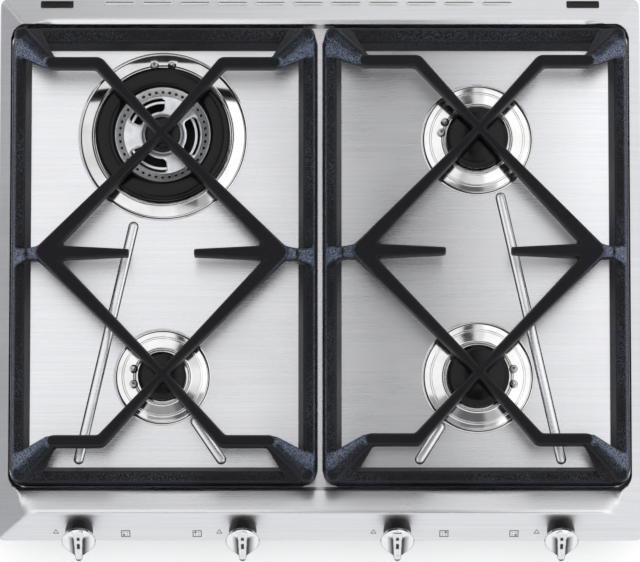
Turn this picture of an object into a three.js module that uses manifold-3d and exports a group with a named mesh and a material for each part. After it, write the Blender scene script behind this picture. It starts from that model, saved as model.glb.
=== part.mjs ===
// A built-in gas cooktop: pressed steel top with a raised control console, four
// burners, two cast pan supports, four push-and-turn knobs and the gas parts below.
// Millimetres, +X right, +Y to the rear, +Z up. The origin is the middle of the
// bottom case's underside. Heights inside the hob group count from the worktop.
import * as THREE from 'three';
import Module from 'manifold-3d';
import { mergeVertices } from 'three/addons/utils/BufferGeometryUtils.js';
import { ConvexGeometry } from 'three/addons/geometries/ConvexGeometry.js';

const wasm = await Module();
wasm.setup();

// ---- Driving dimensions ----
const GAP = 0.3;                 // clearance between touching pieces
const SHEET = 1.0;               // steel sheet thickness

// Steel top: four outer slopes, and a basin pressed into them
const HOB_W = 600;
const HOB_D = 510;
const HOB_CORNER_R = 7;
const FRONT_RUN = 1.0;           // run per millimetre of rise of the control panel
const SIDE_RUN = 1.3;
const REAR_RUN = 1.6;
const BASIN_FLOOR = 1.5;         // above the worktop
const BASIN_SIDE = 11;           // basin floor's edge, in from the hob's sides
const BASIN_W = HOB_W - 2 * BASIN_SIDE;
const BASIN_FRONT = 49;          // basin floor's edge, in from the hob's front edge
const BASIN_REAR = 26;           // and from its rear edge
const BASIN_SIDE_RUN = 0.12;     // run per millimetre of the basin's side walls
const BASIN_FRONT_RUN = 1.11;
const BASIN_REAR_RUN = 0.6;
const BASIN_CORNER_R = 13;
const HULL_TOP = 40;             // height to which the slopes are drawn before they cross

// Bottom case in the worktop cut-out
const CASE_DEPTH = 44;
const CASE_SIDE_IN = 22;         // case wall, in from the hob's sides
const CASE_END_IN = 16;          // and from its front and rear
const CASE_W = HOB_W - 2 * CASE_SIDE_IN;
const CASE_D = HOB_D - 2 * CASE_END_IN;
const CASE_CORNER_R = 12;
const SEAL_W = 9;
const SEAL_INSET = 1.5;          // from the hob's outer edge, over the sheet

// Pan supports
const SUPPORT_MID_GAP = 4.4;     // between the two supports
const SUPPORT_SIDE_GAP = 0.8;    // from a support to the basin's side
const SUPPORT_W = (BASIN_W - SUPPORT_MID_GAP) / 2 - SUPPORT_SIDE_GAP;
const SUPPORT_REAR = 28.8;       // frame's rear edge, in from the hob's rear edge
const SUPPORT_FRONT = 50;        // frame's front edge, in from the hob's front edge
const FRAME_H = 19;
const FRAME_BASE = 18;           // bar width at the bottom
const FRAME_REAR_EXTRA = 3;      // the rear bar is wider by this
const FRAME_OUT_DRAFT = 3;
const FRAME_IN_DRAFT = 5.5;
const FRAME_CORNER_R = 16;
const ARM_TOP = 46;              // above the basin floor
const ARM_H = 13;
const ARM_W = 12.5;
const ARM_THIN_W = 8.8;          // at the crossings
const ARM_DRAFT = 1.6;           // narrower at the top by this on each side
const KNUCKLE_SIDES = 8;
const HUB_W = 16;
const FINGER_TIP_W = 8;
const FINGER_LENGTH = 80;
// Places of a level arm, in from the frame's outer or inner side: its start and its bend
const REAR_ARM = { outer: [37.5, 82], inner: [39, 88.3] };
const FRONT_ARM = { outer: [41, 85.5], inner: [44, 88] };
const HUB_IN = { outer: 30.7, inner: 34.2 };   // mid hub, in from the frame's side
const WEB_L = 14;                // narrowest part of the sloping web, out from its hub
const WEB_DROP = 12.5;           // and below the arms' tops
const FOOT_IN = 4;               // web's foot, in from the frame's side
const FOOT_W = 20;
// Each support's level arms, in from the frame's rear and front edges; its hubs, ahead of
// the frame's middle; and its crossings, off their burners' axes. The castings differ a little.
const CAST = {
  left: { rearArmIn: 39.1, frontArmIn: 39, hubForward: 1.2, rearOff: [-0.5, -2.5], frontOff: [1.5, -1] },
  right: { rearArmIn: 37, frontArmIn: 40.7, hubForward: -0.6, rearOff: [1.2, 5.2], frontOff: [0.2, 1] },
};

// Burners: plan positions, then the heights and radii of their pieces
const BURNER_OUT = 1.8;          // outwards from the middle of the support
const REAR_LEFT_IN = 131;        // in from the hob's rear edge
const REAR_RIGHT_IN = 134;
const FRONT_IN = 152.5;          // in from its front edge
const BURNER_X = (SUPPORT_W + SUPPORT_MID_GAP) / 2 + BURNER_OUT;
const REAR_LEFT_Y = HOB_D / 2 - REAR_LEFT_IN;
const REAR_RIGHT_Y = HOB_D / 2 - REAR_RIGHT_IN;
const FRONT_Y = FRONT_IN - HOB_D / 2;
const PLATE_H = 6.5;
const PLATE_EDGE = 1.6;          // height of the plate's edge
const PLATE_DISH = 2.8;          // height of the dish's lowest part
const PLATE_STEP = 2.5;          // seat of the burner head, below the plate's lip
const CROWN_H = 9;
const CROWN_BASE = 3;            // height of the head's plain foot
const CROWN_WALL = 4;
const CROWN_DRAFT = 0.8;
const TUBE_R = 9;                // bore of the mixing tube
const TUBE_WALL = 2;
const TUBE_DROP = 16;
const SEAT_H = 2.4;              // inner flame's seat and its spokes
const SPOKE_W = 16;
const SPARK_OUT = 7;             // electrode and probe, out from the burner head

// Burner sizes: the plate's edge lies plateEdge outside the electrode, and the cap
// hangs over the head by capOver
const SMALL = {
  crownR: 20.5, plateEdge: 16.5, capOver: 2, capH: 6.5, cupR: 23, portCount: 8,
};
const MEDIUM = {
  crownR: 27, plateEdge: 17.2, capOver: 2, capH: 7, cupR: 30, portCount: 10,
};
const LARGE = {
  crownR: 60, plateEdge: 11, capOver: 3, capH: 5.5, cupR: 46, portCount: 12,
};
for (const kind of [SMALL, MEDIUM, LARGE]) {
  kind.sparkR = kind.crownR + SPARK_OUT;
  kind.plateR = kind.sparkR + kind.plateEdge;
  kind.capR = kind.crownR + kind.capOver;
}
const LARGE_RING_IN = 44.4;      // inner radius of the large burner's ring cap
const INNER_CROWN_R = 15;
const INNER_CAP_R = 16.8;
const INNER_TUBE_R = 6;
const CUP_BOTTOM = -30;          // below the worktop
const CUP_WALL = 1.5;
const CUP_SIDES = 16;
const CUP_LIP = 3;               // flange over the edge of the hole in the top
const PORT_DEPTH = 1.6;
const PORT_W = 1.6;
const ELECTRODE_R = 2.6;
const ELECTRODE_TOP = 17;        // above the basin floor
const PROBE_R = 2;

// Raised drain ribs
const RIB_W = 9.5;
const RIB_H = 1.6;
const RIB_END_IN = 75.5;         // front ends, in from the hob's front and side edges
const ribEndX = HOB_W / 2 - RIB_END_IN;
const ribEndY = RIB_END_IN - HOB_D / 2;
// Long ribs end outside their burner's axis; the short ones start inside the front
// burners' axes, ahead of them, and end at frontIn inside
const LONG_RIB_LEFT = { out: 27.5, rearY: 39 };
const LONG_RIB_RIGHT = { out: 22, rearY: 66.5 };
const SHORT_RIB_LEFT = { inside: 31, ahead: 41.5, frontIn: 55 };
const SHORT_RIB_RIGHT = { inside: 35, ahead: 46.5, frontIn: 54 };

// Rear ledge: vents and the two lid hinge sockets
const VENT_COUNT = 11;
const VENT_PITCH = 35.5;
const VENT_L = 26.5;
const VENT_W = 2.4;
const VENT_MIDDLE_X = -11;
const VENT_IN = 4.2;             // from the rear edge, in plan
const SOCKET_L = 28;
const SOCKET_W = 6.5;
const SOCKET_SIDE_IN = 53;       // middle of a socket, in from the hob's side
const SOCKET_X = HOB_W / 2 - SOCKET_SIDE_IN;
const SOCKET_IN = 5.6;

// Knobs on the control panel
const KNOB_OUTER_IN = 77;        // outer knobs' axes, in from the hob's sides
const KNOB_INNER_X = 71.5;
const KNOB_OUTER_X = HOB_W / 2 - KNOB_OUTER_IN;
const KNOB_XS = [-KNOB_OUTER_X, -KNOB_INNER_X, KNOB_INNER_X, KNOB_OUTER_X];
const KNOB_PANEL_RISE = 12;      // height of the knob axis on the panel
const KNOB_LIFT = 3.4;           // skirt's clearance for the push
const KNOB_TRAVEL = 2.8;         // push travel, less than the clearance
const SKIRT_R = 12.8;
const SKIRT_TOP = 18;
const COVER_R = 15.8;
const COVER_EDGE = 22.5;
const COVER_TOP = 28.5;
const COVER_BEVEL = 1.4;
const BLADE_REAR_W = 9.2;
const BLADE_REAR_IN = 2.4;       // blade's rear end, in from the cover's edge
const BLADE_REAR_RISE = 1;       // and its top there, over the cover's face
const BLADE_TIP_W = 6.4;
const BLADE_TIP_OUT = 1.6;
const GROOVE_R = 3.2;            // hollow along the blade's top
const GROOVE_DEPTH = 0.9;
const GROOVE_L = 20;
const SCOOP_R = 15;
const SCOOP_OUT = 9.4;           // scoop's axis, out from the blade's edge
const SCOOP_DEPTH = 1.5;
const SCOOP_TURN = 5;            // degrees
const SCOOP_TILT = 7;            // degrees, deeper towards the blade's tip
const SPINDLE_R = 4;
const PANEL_HOLE_R = 6;

// Gas taps, rail and pipes
const TAP_W = 17;
const TAP_FROM = 18;             // below the panel, along the knob axis
const TAP_TO = 46;
const PLUG_R = 5.5;
const PLUG_L = 22;
const PLUG_SOCKET = 10;
const RAIL_R = 7;
const RAIL_FLOOR_GAP = 4;        // from the case's floor to the rail
const RAIL_SIDE_IN = 16;         // rail's side run, in from the case's side
const RAIL_SIDE_X = CASE_W / 2 - RAIL_SIDE_IN;
const RAIL_END_IN = 22;          // and its end, in from the case's rear
const PIPE_R = 3.5;
const PIPE_BEND = 16;
const BOSS_R = 5;
const BOSS_L = 9;
const OUTLET_Z = -20.5;

const sides = { large: 28, medium: 20, small: 14, pin: 8 };
const PIPE_ARCS = 4;             // a pipe's section has twice as many sides

// ---- Materials ----
function finish(color, roughness, metalness) {
  return new THREE.MeshStandardMaterial({ color, roughness, metalness });
}
const STEEL = finish(0xc9cacc, 0.35, 1);
const GALVANISED = finish(0x9fa3a6, 0.5, 1);
const CAST_IRON = finish(0x1c1d20, 0.75, 0.2);
const ENAMEL = finish(0x0b0b0c, 0.2, 0);
const CHROME = finish(0xdfe1e4, 0.12, 1);
const ALUMINIUM = finish(0xb9bcc0, 0.45, 1);
const BRASS = finish(0xb08d4a, 0.4, 1);
const BLACK_PLASTIC = finish(0x151515, 0.5, 0);
const CERAMIC = finish(0xefece4, 0.4, 0);
const RUBBER = finish(0x202020, 0.9, 0);

// ---- Shape helpers ----
const rad = THREE.MathUtils.degToRad;

function solid(geometry) {
  const bare = geometry.index ? geometry.toNonIndexed() : geometry.clone();
  bare.deleteAttribute('normal');
  bare.deleteAttribute('uv');
  const merged = mergeVertices(bare, 1e-4);
  return new wasm.Manifold(new wasm.Mesh({
    numProp: 3,
    vertProperties: new Float32Array(merged.attributes.position.array),
    triVerts: new Uint32Array(merged.index.array),
  }));
}

function toGeometry(manifold) {
  const data = manifold.getMesh();
  const geometry = new THREE.BufferGeometry();
  geometry.setAttribute('position', new THREE.BufferAttribute(data.vertProperties, 3));
  geometry.setIndex(new THREE.BufferAttribute(data.triVerts, 1));
  return geometry;
}

function piece(parent, name, manifold, material) {
  const mesh = new THREE.Mesh(toGeometry(manifold), material);
  mesh.name = name;
  parent.add(mesh);
  return mesh;
}

function joined(manifolds) {
  return manifolds.reduce((sum, next) => sum.add(next));
}

function hull(points) {
  return solid(new ConvexGeometry(points));
}

// Horizontal rounded rectangle at height z, as points
function ring(x0, x1, y0, y1, z, radius, steps = 3) {
  const corners = [[x1, y1], [x0, y1], [x0, y0], [x1, y0]];
  const points = [];
  for (const [quarter, [x, y]] of corners.entries()) {
    const cx = x - Math.sign(x - (x0 + x1) / 2) * radius;
    const cy = y - Math.sign(y - (y0 + y1) / 2) * radius;
    for (let i = 0; i <= steps; i++) {
      const angle = Math.PI / 2 * (quarter + i / steps);
      points.push(new THREE.Vector3(cx + radius * Math.cos(angle), cy + radius * Math.sin(angle), z));
    }
  }
  return points;
}

function block(x0, x1, y0, y1, z0, z1) {
  const box = new THREE.BoxGeometry(x1 - x0, y1 - y0, z1 - z0);
  return solid(box.translate((x0 + x1) / 2, (y0 + y1) / 2, (z0 + z1) / 2));
}

function roundBlock(x0, x1, y0, y1, z0, z1, radius) {
  return hull([...ring(x0, x1, y0, y1, z0, radius), ...ring(x0, x1, y0, y1, z1, radius)]);
}

function cylinder(radius, z0, z1, count = sides.small) {
  const shape = new THREE.CylinderGeometry(radius, radius, z1 - z0, count);
  return solid(shape.rotateX(rad(90)).translate(0, 0, (z0 + z1) / 2));
}

// Turned part: profile of [radius, z] pairs, from the axis to the axis or closed
function turned(profile, count) {
  const points = profile.map(([r, z]) => new THREE.Vector2(r, z));
  return solid(new THREE.LatheGeometry(points, count).rotateX(rad(90)));
}

function turnedRing(profile, count) {
  return turned([...profile, profile[0]], count);
}

function pipe(route, radius) {
  const circle = new THREE.Shape();
  circle.absarc(0, 0, radius, 0, 2 * Math.PI);
  const path = new THREE.CurvePath();
  let start = route[0];
  for (let i = 1; i < route.length - 1; i++) {
    const corner = route[i];
    const inward = corner.clone().sub(route[i - 1]).setLength(PIPE_BEND);
    const outward = route[i + 1].clone().sub(corner).setLength(PIPE_BEND);
    const bendStart = corner.clone().sub(inward);
    const bendEnd = corner.clone().add(outward);
    path.add(new THREE.LineCurve3(start, bendStart));
    path.add(new THREE.QuadraticBezierCurve3(bendStart, corner, bendEnd));
    start = bendEnd;
  }
  path.add(new THREE.LineCurve3(start, route[route.length - 1]));
  const steps = Math.round(path.getLength() / (PIPE_BEND * 1.3));
  return solid(new THREE.ExtrudeGeometry(circle, {
    steps,
    curveSegments: PIPE_ARCS,
    extrudePath: path,
  }));
}

const at = (x, y, z) => new THREE.Vector3(x, y, z);

// ---- Steel top ----
const FRONT = -HOB_D / 2;
const REAR = HOB_D / 2;
const LEFT = -HOB_W / 2;
const RIGHT = HOB_W / 2;

// A slope of the given run per rise, moved square to itself by d, moves this far in plan
function slopeShift(run, d) {
  return d * Math.hypot(run, 1);
}

// The four outer slopes up to HULL_TOP, set in by d
function outerSlopes(d, z0) {
  const edge = (z) => ring(
    LEFT + SIDE_RUN * z + slopeShift(SIDE_RUN, d),
    RIGHT - SIDE_RUN * z - slopeShift(SIDE_RUN, d),
    FRONT + FRONT_RUN * z + slopeShift(FRONT_RUN, d),
    REAR - REAR_RUN * z - slopeShift(REAR_RUN, d),
    z,
    HOB_CORNER_R - d,
    3,
  );
  return hull([...edge(z0), ...edge(HULL_TOP)]);
}

// The basin that is pressed into the slopes, larger by d
function basinShape(d) {
  const edge = (z) => {
    const rise = z - BASIN_FLOOR;
    const halfW = BASIN_W / 2 + BASIN_SIDE_RUN * rise + slopeShift(BASIN_SIDE_RUN, d);
    return ring(
      -halfW,
      halfW,
      FRONT + BASIN_FRONT - BASIN_FRONT_RUN * rise - slopeShift(BASIN_FRONT_RUN, d),
      REAR - BASIN_REAR + BASIN_REAR_RUN * rise + slopeShift(BASIN_REAR_RUN, d),
      z,
      BASIN_CORNER_R + d,
    );
  };
  return hull([...edge(BASIN_FLOOR - d), ...edge(HULL_TOP + 2)]);
}

// Angles are about the burner, from +X; the gas inlet faces along X
const burners = [
  {
    tag: 'rear_left', x: -BURNER_X, y: REAR_LEFT_Y, kind: LARGE,
    inlet: 1, knob: 1, sparkAt: 90, sparkSpread: 7,
  },
  {
    tag: 'rear_right', x: BURNER_X, y: REAR_RIGHT_Y, kind: MEDIUM,
    inlet: -1, knob: 2, sparkAt: 161, sparkSpread: 9,
  },
  {
    tag: 'front_left', x: -BURNER_X, y: FRONT_Y, kind: SMALL,
    inlet: -1, knob: 0, sparkAt: 180, sparkSpread: 15,
  },
  {
    tag: 'front_right', x: BURNER_X, y: FRONT_Y, kind: MEDIUM,
    inlet: 1, knob: 3, sparkAt: 0, sparkSpread: 12,
  },
];

// Place of the electrode (side 1) or the probe (side -1), from the burner's axis
function sparkPlace({ sparkAt, sparkSpread, kind }, side) {
  const turn = rad(sparkAt + side * sparkSpread);
  return at(kind.sparkR * Math.cos(turn), kind.sparkR * Math.sin(turn), 0);
}

// The hole in the steel top clears the electrode and the probe
function burnerHoleR(kind) {
  return kind.sparkR + ELECTRODE_R + 1;
}

const panelTilt = Math.atan(1 / FRONT_RUN);
const panelY = FRONT + FRONT_RUN * KNOB_PANEL_RISE;

// Places a group with its Z along a knob's axis and its origin on the panel
function knobPlace(x) {
  const place = new THREE.Group();
  place.position.set(x, panelY, KNOB_PANEL_RISE);
  place.rotation.x = panelTilt;
  place.updateMatrix();
  return place;
}

function onPanel(manifold, x) {
  return solid(toGeometry(manifold).applyMatrix4(knobPlace(x).matrix));
}

function longRib(side, { out, rearY }) {
  return rib(side * (BURNER_X + out), rearY, side * ribEndX);
}

function shortRib(side, { inside, ahead, frontIn }) {
  return rib(side * (BURNER_X - inside), FRONT_Y - ahead, side * (BURNER_X - frontIn));
}

function rib(rearX, rearY, frontX) {
  const along = new THREE.Vector2(frontX - rearX, ribEndY - rearY);
  const length = along.length();
  const section = new THREE.Shape();
  const quarter = Math.PI / 2;
  section.absarc(length, 0, RIB_W / 2, -quarter, quarter);
  section.absarc(0, 0, RIB_W / 2, quarter, 3 * quarter);
  const bevel = RIB_W / 4;
  const form = new THREE.ExtrudeGeometry(section, {
    depth: SHEET / 2,
    bevelThickness: RIB_H,
    bevelSize: bevel,
    bevelOffset: -bevel,
    bevelSegments: 1,
    curveSegments: 4,
  });
  form.rotateZ(along.angle());
  return solid(form.translate(rearX, rearY, BASIN_FLOOR - SHEET / 2));
}

function ledgeSlot(x, inset, length, width) {
  const z = inset / REAR_RUN;
  const box = new THREE.BoxGeometry(length, width, 16);
  box.rotateX(-Math.atan(1 / REAR_RUN));
  return solid(box.translate(x, REAR - inset, z));
}

function hobTop() {
  const skin = outerSlopes(0, 0).subtract(basinShape(0));
  const inside = outerSlopes(SHEET, -1).subtract(basinShape(SHEET));
  const ribs = [
    longRib(-1, LONG_RIB_LEFT),
    longRib(1, LONG_RIB_RIGHT),
    shortRib(-1, SHORT_RIB_LEFT),
    shortRib(1, SHORT_RIB_RIGHT),
  ];
  const belowSheet = block(LEFT, RIGHT, FRONT, REAR, -HULL_TOP, BASIN_FLOOR - SHEET / 2 + 0.01);
  const lid = ribs.map((form) => form.subtract(belowSheet));
  let top = joined([skin.subtract(inside), ...lid]);
  for (const { x, y, kind } of burners) {
    top = top.subtract(cylinder(burnerHoleR(kind), -5, 10, sides.large).translate(x, y, 0));
  }
  for (const x of KNOB_XS) {
    top = top.subtract(onPanel(cylinder(PANEL_HOLE_R, -6, 6), x));
  }
  for (let i = 0; i < VENT_COUNT; i++) {
    const x = VENT_MIDDLE_X + (i - (VENT_COUNT - 1) / 2) * VENT_PITCH;
    top = top.subtract(ledgeSlot(x, VENT_IN, VENT_L, VENT_W));
  }
  for (const x of [-SOCKET_X, SOCKET_X]) {
    top = top.subtract(ledgeSlot(x, SOCKET_IN, SOCKET_L, SOCKET_W));
  }
  return top;
}

// ---- Bottom case, seal and what is fixed to the case ----
const CASE_FLOOR = -CASE_DEPTH + SHEET;
const CASE_TOP = BASIN_FLOOR - SHEET - GAP;
const GLAND_X = 150;
const GLAND_Z = -26;
const GLAND_R = 7;
const UNION_R = 9;
const THREAD_R = UNION_R - 0.2;
const UNION_OUT = 12;            // stub behind the case
const HEX_R = UNION_R + 1.5;
const HEX_L = 10;
const GENERATOR_W = 68;          // spark generator on the case's floor
const GENERATOR_D = 40;
const GENERATOR_H = 21.7;
const GENERATOR_IN = 87;         // its middle, in from the case's rear
const GENERATOR_PITCH = 16;      // between its lead posts
const GENERATOR_POST = 7;
const BRACKET_W = 28;
const BRACKET_RIB_W = 12;
const railZ = CASE_FLOOR + RAIL_FLOOR_GAP + RAIL_R;

// Along the knob axis and square to it, in the plane across the panel
function tapPoint(up, out) {
  return {
    y: panelY + up * Math.cos(panelTilt) - out * Math.sin(panelTilt),
    z: KNOB_PANEL_RISE + up * Math.sin(panelTilt) + out * Math.cos(panelTilt),
  };
}

// The rail lies against the taps' lower faces, at the height that railZ gives
const tapLower = tapPoint(-TAP_W / 2 - GAP - RAIL_R, 0);
const railY = tapLower.y + (railZ - tapLower.z) / -Math.cos(panelTilt) * Math.sin(panelTilt);

function bottomCase() {
  const halfW = CASE_W / 2;
  const halfD = CASE_D / 2;
  const outer = roundBlock(-halfW, halfW, -halfD, halfD, -CASE_DEPTH, CASE_TOP, CASE_CORNER_R);
  const inner = roundBlock(
    -halfW + SHEET,
    halfW - SHEET,
    -halfD + SHEET,
    halfD - SHEET,
    CASE_FLOOR,
    CASE_TOP + 5,
    CASE_CORNER_R - SHEET,
  );
  const rearHole = (x, z, radius) => solid(
    new THREE.CylinderGeometry(radius, radius, 12, sides.small).translate(x, halfD, z),
  );
  return outer.subtract(inner)
    .subtract(rearHole(GLAND_X, GLAND_Z, GLAND_R + GAP))
    .subtract(rearHole(RAIL_SIDE_X, railZ, UNION_R + GAP));
}

function worktopSeal() {
  const inset = SEAL_INSET + slopeShift(SIDE_RUN, SHEET) + SIDE_RUN;
  const outer = roundBlock(
    LEFT + inset,
    RIGHT - inset,
    FRONT + inset,
    REAR - inset,
    0,
    BASIN_FLOOR - SHEET - GAP + 0.6,
    HOB_CORNER_R,
  );
  const inner = roundBlock(
    LEFT + inset + SEAL_W,
    RIGHT - inset - SEAL_W,
    FRONT + inset + SEAL_W,
    REAR - inset - SEAL_W,
    -1,
    BASIN_FLOOR + 5,
    HOB_CORNER_R,
  );
  return outer.subtract(inner).subtract(outerUnderside());
}

// What the sheet fills, grown by the clearance, to trim what lies under it
function outerUnderside() {
  const inside = outerSlopes(SHEET + GAP, -3).subtract(basinShape(SHEET + GAP));
  return block(LEFT - 5, RIGHT + 5, FRONT - 5, REAR + 5, -2, HULL_TOP).subtract(inside);
}

function gasRail() {
  const endX = KNOB_XS[0] - TAP_W;
  return pipe([
    at(endX, railY, railZ),
    at(RAIL_SIDE_X, railY, railZ),
    at(RAIL_SIDE_X, CASE_D / 2 - RAIL_END_IN, railZ),
  ], RAIL_R);
}

// Hexagon against the rail's end, and a threaded stub through the case's rear wall
function gasUnion() {
  const start = CASE_D / 2 - RAIL_END_IN + GAP;
  const threadL = RAIL_END_IN + UNION_OUT;
  const hex = new THREE.CylinderGeometry(HEX_R, HEX_R, HEX_L, 6);
  const thread = new THREE.CylinderGeometry(THREAD_R, THREAD_R, threadL, sides.small);
  return joined([
    solid(hex.translate(RAIL_SIDE_X, start + HEX_L / 2, railZ)),
    solid(thread.translate(RAIL_SIDE_X, start + threadL / 2, railZ)),
  ]);
}

function mainsGland() {
  const rearFace = CASE_D / 2;
  const body = new THREE.CylinderGeometry(GLAND_R, GLAND_R, 14, sides.small);
  const flange = new THREE.CylinderGeometry(GLAND_R + 3, GLAND_R + 3, 3, sides.small);
  const bore = new THREE.CylinderGeometry(3.5, 3.5, 30, sides.pin);
  return joined([
    solid(body.translate(GLAND_X, rearFace - 2, GLAND_Z)),
    solid(flange.translate(GLAND_X, rearFace + GAP + 1.5, GLAND_Z)),
  ]).subtract(solid(bore.translate(GLAND_X, rearFace, GLAND_Z)));
}

function ignitionGenerator() {
  const y = CASE_D / 2 - GENERATOR_IN;
  const halfD = GENERATOR_D / 2;
  const z0 = CASE_FLOOR + GAP;
  const z1 = z0 + GENERATOR_H;
  const halfW = GENERATOR_W / 2;
  const parts = [roundBlock(-halfW, halfW, y - halfD, y + halfD, z0, z1, 3)];
  for (let i = 0; i < burners.length; i++) {
    const x = (i - (burners.length - 1) / 2) * GENERATOR_PITCH;
    const post = cylinder(GENERATOR_PITCH / 4, z1 - 1, z1 + GENERATOR_POST, sides.pin);
    parts.push(post.translate(x, y, 0));
  }
  return joined(parts);
}

// An angle bar along the case's floor, notched round the rail it carries
function railBracket() {
  const x0 = KNOB_XS[0] - TAP_W / 2;
  const x1 = KNOB_XS[3] + TAP_W / 2;
  const half = BRACKET_W / 2;
  const front = Math.max(railY - half, SHEET + GAP - CASE_D / 2);
  const foot = block(x0, x1, front, railY + half, CASE_FLOOR + GAP, CASE_FLOOR + 2 * SHEET);
  const ribs = [];
  for (let i = 1; i < KNOB_XS.length; i++) {
    const x = (KNOB_XS[i - 1] + KNOB_XS[i]) / 2;
    const rib0 = x - BRACKET_RIB_W / 2;
    const rib1 = x + BRACKET_RIB_W / 2;
    ribs.push(block(rib0, rib1, front + 3, railY + half - 3, CASE_FLOOR + SHEET, railZ));
  }
  const groove = new THREE.CylinderGeometry(RAIL_R + GAP, RAIL_R + GAP, x1 - x0 + 20, sides.small);
  return joined([foot, ...ribs]).subtract(
    solid(groove.rotateZ(rad(90)).translate((x0 + x1) / 2, railY, railZ)),
  );
}

// ---- Burners ----
const PLATE_Z = BASIN_FLOOR + GAP;
const CROWN_Z = PLATE_Z + PLATE_H - PLATE_STEP + GAP;
const CAP_Z = CROWN_Z + CROWN_H + GAP;

// Dished ring that covers the hole in the steel top
function burnerPlate(kind) {
  const { plateR, crownR } = kind;
  const inR = crownR - CROWN_WALL;
  const lipR = crownR + 2 * GAP;
  const z = PLATE_Z;
  return [
    [inR, z],
    [plateR, z],
    [plateR, z + PLATE_EDGE],
    [plateR - 2.5, z + PLATE_DISH - 0.2],
    [(plateR + crownR) / 2 + 2, z + PLATE_DISH],
    [lipR + 2, z + PLATE_H],
    [lipR, z + PLATE_H - 2 * GAP],
    [lipR, z + PLATE_H - PLATE_STEP],
    [inR, z + PLATE_H - PLATE_STEP],
  ];
}

function plateSolid(burner) {
  let plate = turnedRing(burnerPlate(burner.kind), sides.large);
  for (const side of [-1, 1]) {
    const spot = sparkPlace(burner, side);
    const hole = cylinder(ELECTRODE_R + GAP, -5, 20, sides.pin);
    plate = plate.subtract(hole.translate(spot.x, spot.y, 0));
  }
  return plate;
}

// Row of flame ports, as upright grooves round a crown
function portGrooves(radius, count, z0, z1) {
  const cutters = [];
  for (let i = 0; i < count; i++) {
    const groove = block(radius - PORT_DEPTH, radius + 2, -PORT_W / 2, PORT_W / 2, z0, z1);
    cutters.push(groove.rotate(0, 0, 360 * (i + 0.5) / count));
  }
  return joined(cutters);
}

// Head of an ordinary burner: a drum with ports and a mixing tube into the cup
function crownSolid(kind) {
  const r = kind.crownR;
  const tubeR = Math.min(TUBE_R, r / 2);
  const z = CROWN_Z;
  const drum = turnedRing([
    [tubeR, z - TUBE_DROP],
    [tubeR + TUBE_WALL, z - TUBE_DROP],
    [tubeR + TUBE_WALL, z],
    [r, z],
    [r, z + CROWN_BASE],
    [r - CROWN_DRAFT, z + CROWN_H],
    [r - CROWN_WALL, z + CROWN_H],
    [r - CROWN_WALL - 1, z + CROWN_BASE],
    [tubeR, z + TUBE_WALL],
  ], sides.medium);
  return drum.subtract(portGrooves(r, kind.portCount, z + CROWN_H / 2, z + CROWN_H + 1));
}

// Head of the large burner: a ring with ports on both walls, on four spokes
function largeCrown(kind) {
  const z = CROWN_Z;
  const inR = LARGE_RING_IN - 2.4;
  const wall = CROWN_WALL - 1;
  const rim = turnedRing([
    [inR - CROWN_WALL, z],
    [kind.crownR, z],
    [kind.crownR, z + CROWN_BASE],
    [kind.crownR - CROWN_DRAFT, z + CROWN_H],
    [kind.crownR - wall, z + CROWN_H],
    [kind.crownR - CROWN_WALL, z + CROWN_BASE],
    [inR + CROWN_WALL, z + CROWN_BASE],
    [inR + wall, z + CROWN_H],
    [inR, z + CROWN_H],
  ], sides.large);
  const seat = turnedRing([
    [INNER_TUBE_R, z],
    [INNER_CROWN_R + 7, z],
    [INNER_CROWN_R + 5, z + SEAT_H],
    [INNER_TUBE_R, z + SEAT_H],
  ], sides.medium);
  const spokes = [];
  for (let i = 0; i < 4; i++) {
    const bar = block(INNER_CROWN_R, inR, -SPOKE_W / 2, SPOKE_W / 2, z, z + SEAT_H);
    spokes.push(bar.rotate(0, 0, 45 + 90 * i));
  }
  const tube = turnedRing([
    [INNER_TUBE_R, z - TUBE_DROP],
    [INNER_TUBE_R + TUBE_WALL, z - TUBE_DROP],
    [INNER_TUBE_R + TUBE_WALL, z + 1],
    [INNER_TUBE_R, z + 1],
  ], sides.small);
  return joined([rim, seat, tube, ...spokes])
    .subtract(portGrooves(kind.crownR, kind.portCount, z + CROWN_H / 2, z + CROWN_H + 1));
}

function innerCrown() {
  const z = CROWN_Z + SEAT_H + GAP;
  const drum = turnedRing([
    [INNER_TUBE_R, z],
    [INNER_CROWN_R, z],
    [INNER_CROWN_R - CROWN_DRAFT, CAP_Z - GAP],
    [INNER_CROWN_R - CROWN_WALL, CAP_Z - GAP],
    [INNER_CROWN_R - CROWN_WALL - 0.5, z + TUBE_WALL],
    [INNER_TUBE_R, z + TUBE_WALL],
  ], sides.medium);
  return drum.subtract(portGrooves(INNER_CROWN_R, 8, z + 3, CAP_Z));
}

// Domed lid: flat under its overhang, with a spigot inside the crown
function domeCap(radius, height, spigotR) {
  const z = CAP_Z;
  return turned([
    [0, z - 2],
    [spigotR, z - 2],
    [spigotR, z],
    [radius, z],
    [radius, z + 2.4],
    [radius * 0.8, z + height * 0.78],
    [radius * 0.4, z + height * 0.96],
    [0, z + height],
  ], sides.medium);
}

function ringCap(kind) {
  const z = CAP_Z;
  const outR = kind.capR;
  const inR = LARGE_RING_IN;
  return turnedRing([
    [inR, z],
    [outR, z],
    [outR, z + 2.4],
    [outR - 4, z + kind.capH - 0.6],
    [(outR + inR) / 2, z + kind.capH],
    [inR + 3, z + kind.capH - 0.9],
    [inR, z + 2.4],
  ], sides.large);
}

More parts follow.
